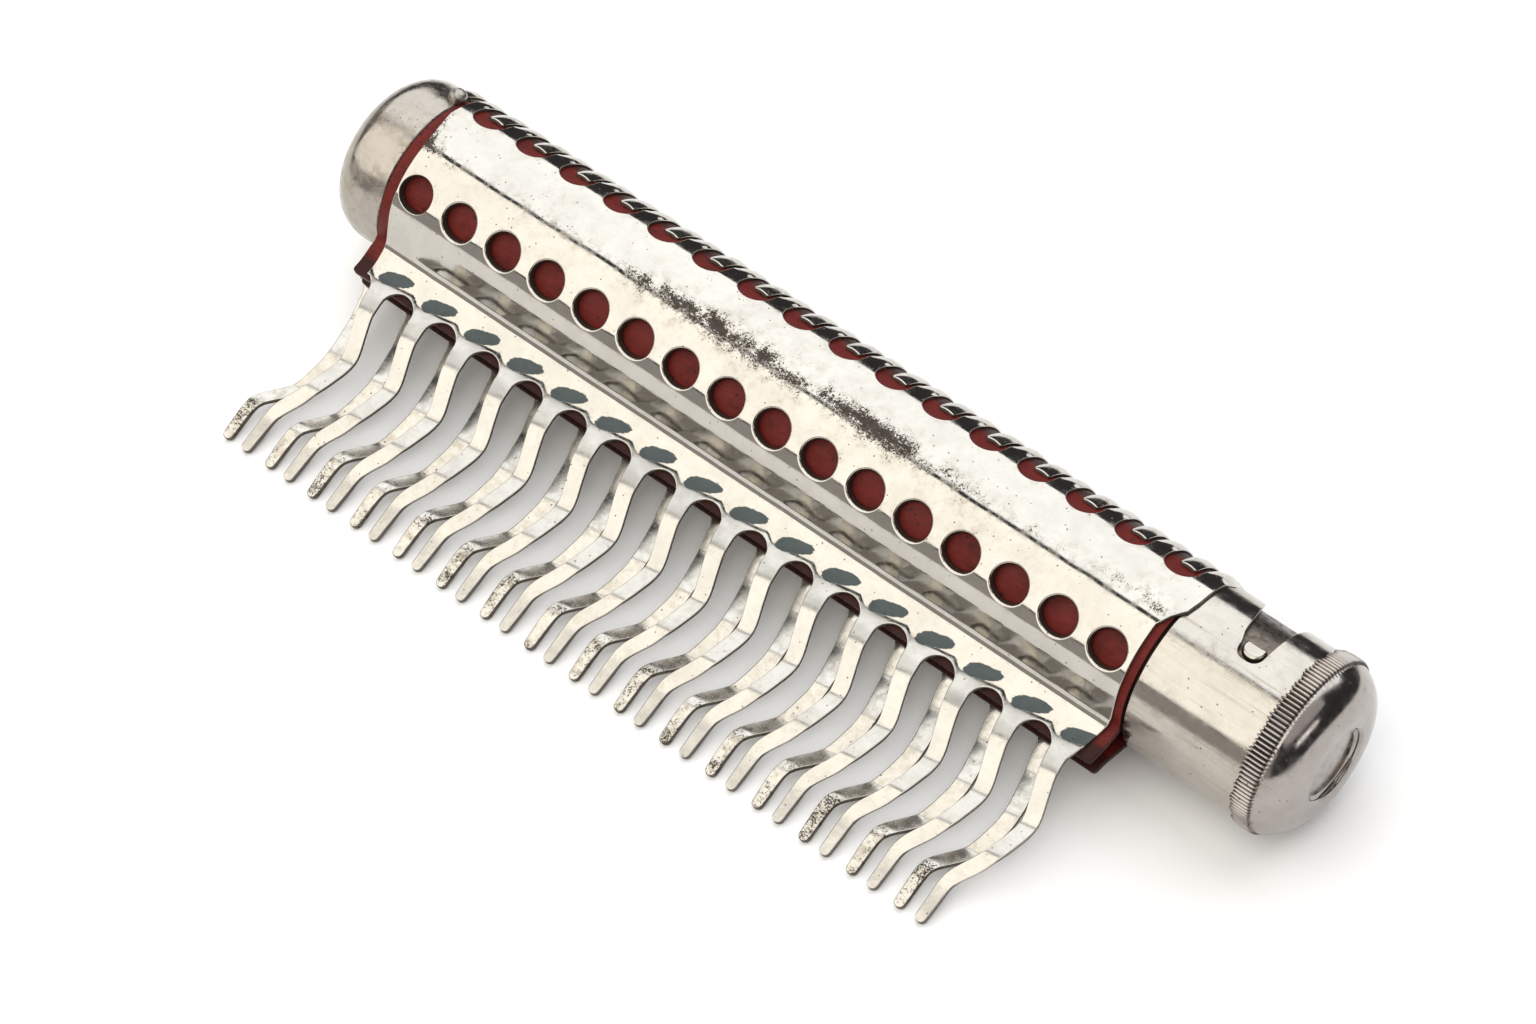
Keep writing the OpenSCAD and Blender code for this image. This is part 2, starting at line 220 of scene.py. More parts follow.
def soft_edge(radius, thick=True):
    """Steps from a sheet's outer face over its edge: offset and depth in radii, part of the
    sheet's thickness, and the turn of the normal."""
    steps = []
    for turn in (0, 30, 60, 90):
        a = math.radians(turn)
        steps.append((radius * (1 - math.sin(a)), radius * (1 - math.cos(a)), 0, turn))
    if thick:
        for turn in (90, 120, 150, 180):
            a = math.radians(turn)
            steps.append((radius * (1 - math.sin(a)), -radius * (1 + math.cos(a)), 1, turn))
    return steps


def flanged_edge(radius, depth):
    """The edge of a punched hole, drawn inwards."""
    steps = soft_edge(radius, thick=False)
    steps += [(0, depth - 0.1, 0, 90), (0.03, depth - 0.03, 0, 135), (0.1, depth, 0, 180)]
    steps += [(0.2, depth, 0, 180), (0.28, depth - 0.08, 0, 250), (radius, 0, 1, 180)]
    return steps


def blind_edge(radius, depth):
    """The edge of a hole that ends on a floor inside the sheet."""
    steps = soft_edge(radius, thick=False)
    steps.append((0, depth - 0.02, 0, 90))
    return steps + [(offset, depth, 0, 0) for offset in (-0.03, -0.6, -1.4)]


def inner_places(firsts, inner):
    """The given places that lie in the sheet and not too near to its edges."""
    near = KDTree(sum(len(ring) for ring in firsts))
    for count, q in enumerate(np.concatenate(firsts)):
        near.insert((q[0], q[1], 0), count)
    near.balance()
    keep = inside(inner, firsts[0])
    for ring in firsts[1:]:
        centre = ring.mean(0)
        keep &= np.linalg.norm(inner - centre, axis=1) > np.linalg.norm(ring[0] - centre)
    inner = inner[keep]
    gap = np.array([near.find((q[0], q[1], 0))[2] for q in inner])
    return inner[gap > 0.2]


def cut_to_triangles(flat, firsts):
    """Triangles over the flat places between the outlines, and which outline each place is on."""
    edges, owner, start = [], np.full(len(flat), -1), 0
    for k, ring in enumerate(firsts):
        n = len(ring)
        edges += [(start + i, start + (i + 1) % n) for i in range(n)]
        owner[start:start + n] = k
        start += n
    cut = delaunay_2d_cdt([Vector(q) for q in flat.tolist()], edges, [], 1, 1e-6)
    origin = [ids[0] if ids else -1 for ids in cut[3]]
    triangles = []
    for face in cut[2]:
        ids = [origin[i] for i in face]
        if min(ids) < 0 or len(set(ids)) < 3:
            continue
        owners = set(owner[ids])
        if len(owners) == 1 and owners.pop() > 0:
            continue
        a, b, c = flat[ids]
        turn = (b[0] - a[0]) * (c[1] - a[1]) - (b[1] - a[1]) * (c[0] - a[0])
        triangles.append(ids if turn > 0 else ids[::-1])
    return triangles, owner


def sheet_mesh(surface, thickness, outline, edge_steps, holes, inner):
    """Points, normals, faces, edge marks and flat places of a thin sheet cut to an outline;
    each hole is an outline and the steps over its edge."""
    loops = [(outline, edge_steps, False)] + [(loop, steps, True) for loop, steps in holes]
    sides = [material_side(loop, hole) for loop, _, hole in loops]
    firsts = [loop + side * steps[0][0] for (loop, steps, _), side in zip(loops, sides)]
    flat = np.concatenate(firsts + [inner_places(firsts, inner)])
    triangles, owner = cut_to_triangles(flat, firsts)

    outer_p, outer_n = surface(flat[:, 0], flat[:, 1])
    t = thickness(flat[:, 0], flat[:, 1])
    total = len(flat)
    points = [outer_p, outer_p - outer_n * t[:, None]]
    normals = [outer_n, -outer_n]
    marks = [np.where(owner >= 0, 0.12, 0.0)] * 2
    places = [flat, flat]
    faces = [tuple(f) for f in triangles] + [tuple(total + i for i in f[::-1]) for f in triangles]
    count = 2 * total
    start = 0
    for (loop, steps, hole), side in zip(loops, sides):
        n = len(loop)
        previous = np.arange(start, start + n)
        closing = np.arange(start + total, start + total + n)
        start += n
        ends_inside = steps[-1][2] == 1
        for offset, depth, part, turn in steps[1:]:
            if ends_inside and (offset, depth, part, turn) == steps[-1]:
                ring = closing
            else:
                q = loop + side * offset
                p, normal = surface(q[:, 0], q[:, 1])
                h = unit(side) * 0.02
                ahead = surface((q - h)[:, 0], (q - h)[:, 1])[0]
                out = unit(ahead - surface((q + h)[:, 0], (q + h)[:, 1])[0])
                deep = depth + part * thickness(q[:, 0], q[:, 1])
                a = math.radians(turn)
                points.append(p - normal * deep[:, None])
                normals.append(unit(normal * math.cos(a) + out * math.sin(a)))
                marks.append(np.full(n, edge_mark(turn, hole, offset)))
                places.append(q)
                ring = np.arange(count, count + n)
                count += n
            faces += ring_faces(previous, ring, side_sign(loop, hole))
            previous = ring
        if not ends_inside:
            for ring, below in ((previous, False), (closing, True)):
                centre = loop.mean(0)[None]
                p, normal = surface(centre[:, 0], centre[:, 1])
                deep = thickness(centre[:, 0], centre[:, 1]) if below else np.array([steps[-1][1]])
                points.append(p - normal * deep[:, None])
                normals.append(-normal if below else normal)
                marks.append(np.zeros(1))
                places.append(centre)
                flip = -side_sign(loop, hole) if below else side_sign(loop, hole)
                faces += fan_faces(ring, count, flip)
                count += 1
    return (np.concatenate(points), np.concatenate(normals), faces, np.concatenate(marks),
            np.concatenate(places))


def edge_mark(turn, hole, offset):
    """Worn on the corner of an edge, painted shade with some grime on its side, painted shade inside a
    hole and round its floor.
    """
    if hole and turn == 0:
        return 1.0 if offset > -0.1 else 0.12
    if turn < 80:
        return 0.12 + 0.4 * math.sin(math.radians(turn))
    return 1.75 if hole else 1.32


def ring_faces(a, b, sign):
    n = len(a)
    made = []
    for i in range(n):
        j = (i + 1) % n
        quad = (int(a[i]), int(b[i]), int(b[j]), int(a[j]))
        made.append(quad if sign > 0 else quad[::-1])
    return made


def fan_faces(ring, centre, sign):
    n = len(ring)
    made = []
    for i in range(n):
        tri = (int(ring[i]), centre, int(ring[(i + 1) % n]))
        made.append(tri if sign > 0 else tri[::-1])
    return made


def add_sheet(name, made, back, shift, material, slot, replaced, soil_and_shade, ledge_reflection=None):
    """Adds a sheet of the comb: as it is for the front, turned over and set off along the tube
    for the back."""
    points, normals, faces, marks, _ = made
    if back:
        flip = np.array([1, 1, -1])
        points, normals = points * flip - (shift, 0, 0), normals * flip
    else:
        faces = [f[::-1] for f in faces]
    add_mesh(name, points, normals, faces, marks, material, "comb", slot, replaced, soil_and_shade, ledge_reflection)


def round_faces(rows, turns, closed=False, start=0):
    """Faces between rows of points that each go once round; closed joins the last row to the first."""
    faces = []
    for i in range(rows if closed else rows - 1):
        a, b = start + i * turns, start + (i + 1) % rows * turns
        for j in range(turns):
            m = (j + 1) % turns
            faces.append((a + j, a + m, b + m, b + j))
    return faces


def lathe_mesh(profile, turns, shape=None):
    """A body turned about the tube's axis from (x, radius) points; shape moves its points."""
    profile = np.array(profile, float)
    angles = np.arange(turns) * 2 * np.pi / turns
    x = np.repeat(profile[:, 0], turns).reshape(-1, turns)
    r = np.repeat(profile[:, 1], turns).reshape(-1, turns)
    a = np.tile(angles, (len(profile), 1))
    if shape:
        x, r = shape(x, r, a)
    points = np.stack([x, r * np.sin(a), r * np.cos(a)], -1).reshape(-1, 3)
    return points, round_faces(len(profile), turns, True)


def bend(x0, r0, radius, start, stop, steps):
    """Points of an arc about (x0, r0); the angle is from +X towards larger radii."""
    made = []
    for k in range(steps + 1):
        a = math.radians(start + (stop - start) * k / steps)
        made.append((x0 + radius * math.cos(a), r0 + radius * math.sin(a)))
    return made


def along(points, spacing):
    """The same open line with more points on its long stretches."""
    made = []
    for a, b in zip(points[:-1], points[1:]):
        parts = max(1, math.ceil(math.dist(a, b) / spacing))
        for k in range(parts):
            t = k / parts
            made.append((a[0] + (b[0] - a[0]) * t, a[1] + (b[1] - a[1]) * t))
    return made + [points[-1]]


def turned_piece(name, profile, turns, material, body, slot, replaced, shape=None, marks=None):
    """A turned piece with smooth faces and sharp corners; its profile runs against the clock
    in the (x, radius) plane seen with the radius upwards. marks gives edge and soil marks."""
    points, faces = lathe_mesh(profile, turns, shape)
    edge, soil_and_shade = marks(points) if marks else (np.zeros(len(points)), None)
    piece = add_mesh(name, points, None, faces, edge, material, body, slot, replaced, soil_and_shade)
    weld(piece)
    piece.data.set_sharp_from_angle(angle=math.radians(SHARP))
    return piece


def on_tube(x, angle, radius, local):
    """Points given along the tube, across it towards the spine and outwards from (x, radius) at
    an angle from straight up."""
    return turn_about_x(local + (0, 0, radius), -math.radians(angle)) + (x, 0, 0)


def weld(piece):
    """Joins points that fall together and turns all faces outwards."""
    bm = bmesh.new()
    bm.from_mesh(piece.data)
    bmesh.ops.remove_doubles(bm, verts=bm.verts, dist=2e-6)
    bmesh.ops.dissolve_degenerate(bm, edges=bm.edges, dist=1e-7)
    bmesh.ops.recalc_face_normals(bm, faces=bm.faces)
    bm.to_mesh(piece.data)
    bm.free()


# Section of the comb plates ------------------------------------------------------------------

# Distance from the axis and height of the outer face over the middle plane, in pitches
OUTER_LINE = np.array([
    (1.66, 0.456), (1.95, 0.39), (2.03, 0.375), (2.12, 0.38), (2.72, 0.428), (2.80, 0.43),
    (2.88, 0.41), (3.50, 0.212), (3.58, 0.20), (3.66, 0.21), (4.35, 0.292), (4.43, 0.295),
    (4.51, 0.268), (5.00, 0.066), (5.08, 0.045), (5.18, 0.046), (REACH, TIP_H),
])
VALLEY_H = 0.456
VALLEY_ANGLE = math.acos(VALLEY_H * PITCH / PLATE_R)
VALLEY_U = PLATE_R * math.sin(VALLEY_ANGLE) / PITCH
VALLEY_V = PLATE_R * VALLEY_ANGLE


def v_of_angle(degrees):
    """Arc length on the plate's outer face from straight up, positive towards the teeth."""
    return -PLATE_R * np.radians(degrees)


def v_of_u(u):
    return VALLEY_V + (u - VALLEY_U) * PITCH


def blurred(values, step, sigma):
    """Evenly spaced values smoothed over about sigma, with both ends carried on straight."""
    reach = int(4 * sigma / step)
    kernel = np.exp(-0.5 * (np.arange(-reach, reach + 1) * step / sigma) ** 2)
    ends = 2 * reach
    line = np.arange(ends)
    left = values[0] + (values[1] - values[0]) * (line - ends)
    right = values[-1] + (values[-1] - values[-2]) * (line + 1)
    long = np.concatenate([left, values, right])
    return np.convolve(long, kernel / kernel.sum(), "same")[ends:-ends]


STEP = 0.02
LINE_V = np.arange(v_of_angle(TONGUE_END + 6), v_of_u(REACH) + 1, STEP)

# The wall below the holes: where it leaves the tube and its slopes in degrees, then the lengths
# of its bend and its flat and the radius of its fillet
WALL_TOP, WALL_TURN, LEDGE_TURN = 32, 58.5, 12.8
WALL_ARC, WALL_FLAT, WALL_FILLET = 3.86, 2.9, 2.3


def wall_line():
    """U and W of the plate below its holes: bent more sharply than the tube, then flat, then
    turned out into the ledge."""
    top = math.radians(WALL_TOP)
    at = [PLATE_R * math.sin(top), PLATE_R * math.cos(top)]
    made = [tuple(at)]
    stretches = ((WALL_ARC, WALL_TOP, WALL_TURN), (WALL_FLAT, WALL_TURN, WALL_TURN),
                 (WALL_FILLET * math.radians(WALL_TURN - LEDGE_TURN), WALL_TURN, LEDGE_TURN))
    for length, start, stop in stretches:
        for k in range(40):
            turn = math.radians(start + (stop - start) * (k + 0.5) / 40)
            at = [at[0] + length / 40 * math.cos(turn), at[1] - length / 40 * math.sin(turn)]
            made.append(tuple(at))
    return np.array(made)


WALL = wall_line()
WALL_V0 = PLATE_R * math.radians(WALL_TOP)
WALL_V1 = VALLEY_V + WALL[-1, 0] - VALLEY_U * PITCH


def section(drop, sharp, soft):
    """Y and Z of a sheet's outer face at LINE_V, drop below the plates' outer face."""
    r = PLATE_R - drop
    flat_u = VALLEY_U + (LINE_V - VALLEY_V) / PITCH
    height = np.interp(flat_u, OUTER_LINE[:, 0], OUTER_LINE[:, 1]) * PITCH
    height = np.where(flat_u < OUTER_LINE[0, 0], VALLEY_H * PITCH, height) - drop
    lift = np.where(flat_u > REACH, (flat_u - REACH) * 0.2, 0)
    round_part = LINE_V < VALLEY_V
    angle = LINE_V / PLATE_R
    y = np.where(round_part, -r * np.sin(angle), -flat_u * PITCH)
    z = np.where(round_part, r * np.cos(angle), height + lift)
    if drop == 0:
        on_wall = (LINE_V > WALL_V0) & (LINE_V < WALL_V1)
        lengths = np.concatenate([[0], np.cumsum(np.hypot(*np.diff(WALL, axis=0).T))])
        place = (LINE_V - WALL_V0) / (WALL_V1 - WALL_V0) * lengths[-1]
        y = np.where(on_wall, -np.interp(place, lengths, WALL[:, 0]), y)
        z = np.where(on_wall, np.interp(place, lengths, WALL[:, 1]), z)
    far = smooth_step(VALLEY_V + 0.8, VALLEY_V + 1.8, LINE_V)
    parts = []
    for line in (y, z):
        parts.append(blurred(line, STEP, sharp) * (1 - far) + blurred(line, STEP, soft) * far)
    return parts


PLATE_Y, PLATE_Z = section(0, 0.12, 0.34)
PLATE_NY = np.gradient(PLATE_Z, STEP)
PLATE_NZ = -np.gradient(PLATE_Y, STEP)

# A tooth's middle, its distance from the axis and its half width, in pitches
TOOTH_LINE = np.array([
    (0.02, 2.36, 0.19), (0.03, 2.48, 0.178), (0.10, 2.80, 0.158), (0.19, 3.12, 0.152),
    (0.28, 3.42, 0.150), (0.305, 3.58, 0.149), (0.30, 3.76, 0.147), (0.21, 4.16, 0.142),
    (0.13, 4.42, 0.138), (0.03, 4.62, 0.134), (-0.20, 4.94, 0.126), (-0.265, 5.06, 0.122),
    (-0.28, 5.20, 0.117), (-0.255, REACH - 0.1, 0.1),
])
TOOTH_U = np.arange(2.2, REACH, 0.01)
TOOTH_X = blurred(np.interp(TOOTH_U, TOOTH_LINE[:, 1], TOOTH_LINE[:, 0]), 0.01, 0.055)
TOOTH_HALF = blurred(np.interp(TOOTH_U, TOOTH_LINE[:, 1], TOOTH_LINE[:, 2]), 0.01, 0.06)
TOOTH_LEAN = np.gradient(TOOTH_X, 0.01)
CREASE_LEAN = 0.156


def crease_middle(x, u):
    """Where along the tube each crease has its nominal distance from the axis, in pitches."""
    i = np.round(x / PITCH - 0.22)
    on_ledge = i + 0.22
    on_tooth = np.round(x / PITCH - np.interp(u, TOOTH_U, TOOTH_X)) + np.interp(u, TOOTH_U, TOOTH_X)
    share = smooth_step(2.2, 2.5, u)
    return on_ledge * (1 - share) + on_tooth * share


def crease_shift(x, v):
    """How far a slanted crease is ahead of its middle, in millimetres."""
    u = VALLEY_U + (v - VALLEY_V) / PITCH
    off = x / PITCH - crease_middle(x, u)
    saw = np.clip(off, -0.41, 0.41)
    back = 0.41 * np.sign(off) * np.clip((np.abs(off) - 0.41) / 0.09, 0, 1)
    return CREASE_LEAN * (saw - back) * PITCH * smooth_step(1.72, 1.95, u)


def tongue_crown(x, v):
    """The rounding of the tongues across their width, and how far it is below the plate."""
    angle = np.degrees(-v / PLATE_R)
    nearest = np.round(x / PITCH - SCALLOP_X - 0.5) + SCALLOP_X + 0.5
    off = (x / PITCH - nearest) / 0.14
    return -0.17 * np.clip(off, -1.6, 1.6) ** 2 * smooth_step(50, 60, angle)


# How far the rippled face lies below its line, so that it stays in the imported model's box
PLATE_SINK = 0.045


def plate_point(x, v, seed):
    shifted = v + crease_shift(x, v)
    ny, nz = np.interp(v, LINE_V, PLATE_NY), np.interp(v, LINE_V, PLATE_NZ)
    size = np.hypot(ny, nz)
    waves = 0.016 * ripple(x, v, seed, 14) + 0.003 * ripple(x, v, seed + 1, 4)
    out = tongue_crown(x, v) + waves - PLATE_SINK
    y = np.interp(v, LINE_V, PLATE_Y) + out * ny / size
    z = np.interp(shifted, LINE_V, PLATE_Z) + out * nz / size
    return np.stack([x, y, z], -1)


def surface_from(point, way=-1):
    """Adds normals on one side or the other to a function that gives the points of a surface."""
    def surface(x, v):
        x, v = np.asarray(x, float), np.asarray(v, float)
        h = 0.03
        across = point(x + h, v) - point(x - h, v)
        down = point(x, v + h) - point(x, v - h)
        return point(x, v), unit(np.cross(across, down) * way)
    return surface


def even(thickness):
    """A sheet of the same thickness everywhere."""
    return lambda x, v: np.full(np.shape(x), thickness)


def plate_thickness(_, v):
    inward = PLATE_R - np.interp(v, LINE_V, np.hypot(PLATE_Y, PLATE_Z))
    inward = np.where((v > WALL_V0) & (v < VALLEY_V), np.clip(inward, 0, 0.3), 0)
    return SHEET_T - inward + 0.3 * smooth_step(v_of_u(4.9), v_of_u(5.5), v)


# Outline of the comb plates in their flat (x, v) plane ---------------------------------------


# Where a tooth leaves the round space at its root, how deep that space is, and the tip's radius
ROOT_U, ROOT_DEPTH, TIP_R = 2.42, 0.31, 0.1


def tooth_side(i, way):
    """One side of tooth i down to its tip; way is -1 for the left side and 1 for the right."""
    keep = TOOTH_U[(TOOTH_U >= ROOT_U) & (TOOTH_U <= REACH - TIP_R)][::4]
    mid = np.interp(keep, TOOTH_U, TOOTH_X)
    half = np.interp(keep, TOOTH_U, TOOTH_HALF)
    lean = np.interp(keep, TOOTH_U, TOOTH_LEAN)
    long = np.sqrt(1 + lean ** 2)
    return np.stack([i + mid + way * half / long, keep - way * half * lean / long], 1)


def tooth_tip(i):
    mid = np.interp(REACH - TIP_R, TOOTH_U, TOOTH_X)
    a = np.radians(np.arange(15, 180, 15))
    return np.stack([i + mid - TIP_R * np.cos(a), REACH - TIP_R + TIP_R * np.sin(a)], 1)


def root_gap(i):
    """The round space between the roots of tooth i and the next, from left to right."""
    a, b = tooth_side(i, 1)[0], tooth_side(i + 1, -1)[0]
    t = np.radians(np.arange(4, 180, 8))
    share = (1 - np.cos(t)) / 2
    x = a[0] + (b[0] - a[0]) * share
    return np.stack([x, a[1] + (b[1] - a[1]) * share - ROOT_DEPTH * np.sin(t)], 1)


def comb_side(left, right_edge):
    """The teeth from the left edge to the right edge, in pitches."""
    start = root_gap(0)
    start = start[start[:, 0] > left + 0.02]
    parts = [np.array([[left, start[0, 1] + 0.01]]), start]
    for i in range(1, TEETH + 1):
        parts += [tooth_side(i, -1), tooth_tip(i), tooth_side(i, 1)[::-1]]
        if i < TEETH:
            parts.append(root_gap(i))
    (x0, u0), (x1, u1) = right_edge
    last = root_gap(TEETH)
    on_edge = x0 + (last[:, 1] - u0) * (x1 - x0) / (u1 - u0)
    last = last[last[:, 0] < on_edge - 0.01]
    parts += [last, np.array([[x1, u1], [x0, u0]])]
    return np.concatenate(parts)


def spine_side(left, right, first, last, wide_end):
    """Scallops and tongues from the right edge to the left edge, in pitches and degrees."""
    per_degree = math.radians(1) * PLATE_R / PITCH
    points = []
    if wide_end:
        points += [(right, 56), (right + wide_end, 63), (right + wide_end, TONGUE_END)]
    elif last + SCALLOP_X + SCALLOP_R < right:
        points += [(right, TONGUE_END)]
    for j in range(last, first - 1, -1):
        x = j + SCALLOP_X
        if j < last or wide_end or x + SCALLOP_R < right:
            points.append((x + SCALLOP_R, TONGUE_END))
        start, stop = 0, 180
        if x + SCALLOP_R > right:
            start = math.degrees(math.acos(np.clip((right - x) / SCALLOP_R, -1, 1)))
        if x - SCALLOP_R < left:
            stop = math.degrees(math.acos(np.clip((left - x) / SCALLOP_R, -1, 1)))
        for a in np.arange(start, stop + 0.1, 8):
            r = math.radians(a)
            low = SCALLOP_ANGLE - SCALLOP_R * math.sin(r) / per_degree
            points.append((x + SCALLOP_R * math.cos(r), low))
        if x - SCALLOP_R >= left:
            points.append((x - SCALLOP_R, TONGUE_END))
    if first + SCALLOP_X - SCALLOP_R > left:
        points.append((left, TONGUE_END))
    return points


def plate_outline(left, spine_left, spine_right, wide_end=0.0, first=1, last=TEETH):
    """Closed outline of a plate in millimetres."""
    right, foot_edge = 16.47, ((16.45, 1.60), (16.27, 2.20))
    teeth = comb_side(left, foot_edge)
    lower = np.stack([teeth[:, 0] * PITCH, v_of_u(teeth[:, 1])], 1)
    wider = spine_right - right
    upper = [(right, -68), (right, -1), (right + 0.37 * wider, 7.6), (right + 0.87 * wider, 15.7),
             (spine_right, 25)]
    upper += spine_side(spine_left, spine_right, first, last, wide_end)
    upper += [(spine_left, 29), (spine_left + 0.065, 18), (left - 0.01, 7), (left, -1)]
    upper = np.array([(x * PITCH, v_of_angle(angle)) for x, angle in upper])
    whole = np.concatenate([lower, upper])
    gap = np.linalg.norm(whole - np.roll(whole, 1, 0), axis=1)
    return fill_in(round_corners(whole[gap > 0.02], 0.35), 0.34)


def plate_holes(first):
    """The punched holes; the first one is too close to the plate's edge for a wide rim."""
    ring = circle(HOLE_R, 48)
    holes = []
    for i in range(first, TEETH + 1):
        rounding = 0.1 if i == 1 else 0.3
        middle = (i * PITCH, v_of_angle(HOLE_ANGLE))
        holes.append((ring + middle, flanged_edge(rounding, FLANGE_DEPTH)))
    return holes


def plate_soil(places, spots, tips):
    """How stained a plate is at each flat place; spots are (x, angle, width, height, depth)
    in pitches, degrees and millimetres, and tips is the staining of the teeth's ends."""
    x, v = places[:, 0], places[:, 1]
    soil_and_shade = np.zeros(len(x))
    for sx, angle, width, height, depth in spots:
        off = ((x - sx * PITCH) / width) ** 2 + ((v - v_of_angle(angle)) / height) ** 2
        soil_and_shade += depth * np.exp(-off)
    line = 2.1 + (x / PITCH - 0.9) * 0.44
    soil_and_shade += 0.45 * np.exp(-((v - v_of_angle(line)) / 0.9) ** 2)
    j = np.round(x / PITCH - SCALLOP_X) + SCALLOP_X
    rim = np.hypot(x - j * PITCH, v - v_of_angle(SCALLOP_ANGLE)) - SCALLOP_R * PITCH
    soil_and_shade += 0.55 * np.exp(-(rim / 0.7) ** 2) * (v > v_of_angle(62))
    i = np.clip(np.round(x / PITCH), 1, TEETH)
    rim = np.hypot(x - i * PITCH, v - v_of_angle(HOLE_ANGLE)) - HOLE_R
    soil_and_shade += 0.4 * np.exp(-(rim / 0.6) ** 2)
    for u in (2.03, 2.8, 3.58, 4.43, 5.08):
        soil_and_shade += 0.22 * np.exp(-((v + crease_shift(x, v) - v_of_u(u)) / 0.5) ** 2)
    soil_and_shade += 0.35 * np.exp(-((v - VALLEY_V) / 0.35) ** 2)
    return soil_and_shade + tips * smooth_step(v_of_u(3.9), v_of_u(5.4), v) + 0.3 * (v < v_of_angle(62))


def ledge_reflection_patches(places):
    """Painted dark reflection: a blue-grey patch above each tooth, where the ledge reflects the dark
    gap between the lights.
    """
    x, u = places[:, 0] / PITCH, VALLEY_U + (places[:, 1] - VALLEY_V) / PITCH
    i = np.clip(np.round(x - 0.17), 1, TEETH)
    along_x = (x - i - 0.175) / 0.35
    off = (u - 1.985 + 0.30 * (x - i - 0.175)) / (0.137 - 0.03 * along_x)
    return smooth_step(1.15, 0.7, np.hypot(off, np.abs(along_x) ** 1.6)) * (u > 1.7)


def grid(xs, vs):
    x, v = np.meshgrid(xs, vs)
    return np.stack([x.ravel(), v.ravel()], 1)


def plate_grid():
    """Points inside the outline: denser along bends, tongues and teeth."""
    wide = np.arange(0, 112, 0.85)
    valley = VALLEY_V + np.array([-0.9, -0.5, -0.3, -0.2, -0.12, -0.06, 0, 0.06, 0.12, 0.2, 0.3, 0.5])
    crown = np.arange(v_of_angle(60), VALLEY_V - 1.2, 0.85)
    parts = [grid(wide, crown), grid(np.arange(0, 112, 0.6), valley)]
    ledge = np.arange(VALLEY_V + 0.8, v_of_u(2.5), 0.25)
    parts.append(grid(np.arange(0, 112, 0.4), ledge))
    tongues = np.arange(v_of_angle(TONGUE_END), v_of_angle(50), 0.7)
    for j in range(-1, TEETH + 1):
        middle = (j + SCALLOP_X + 0.5) * PITCH
        parts.append(grid(middle + np.array([-0.55, -0.28, 0, 0.28, 0.55]), tongues))
    levels = [2.46, 2.54, 2.62, 2.69, 2.74, 2.77, 2.80, 2.83, 2.87, 2.93, 3.02, 3.12, 3.22, 3.32,
              3.42, 3.49, 3.54, 3.58, 3.62, 3.67, 3.75, 3.86, 3.97, 4.08, 4.19, 4.29, 4.36, 4.40,
              4.43, 4.46, 4.50, 4.56, 4.65, 4.75, 4.85, 4.94, 5.00, 5.05, 5.09, 5.14, 5.22, 5.31,
              5.40, 5.49, 5.57, 5.65, 5.72, 5.78, 5.83]
    for i in range(1, TEETH + 1):
        for u in levels:
            mid = np.interp(u, TOOTH_U, TOOTH_X)
            half = np.interp(u, TOOTH_U, TOOTH_HALF)
            for part in (-0.5, 0, 0.5):
                off = part * half
                parts.append([((i + mid + off) * PITCH, v_of_u(u - CREASE_LEAN * off))])
    return np.concatenate(parts)


# Materials -----------------------------------------------------------------------------------


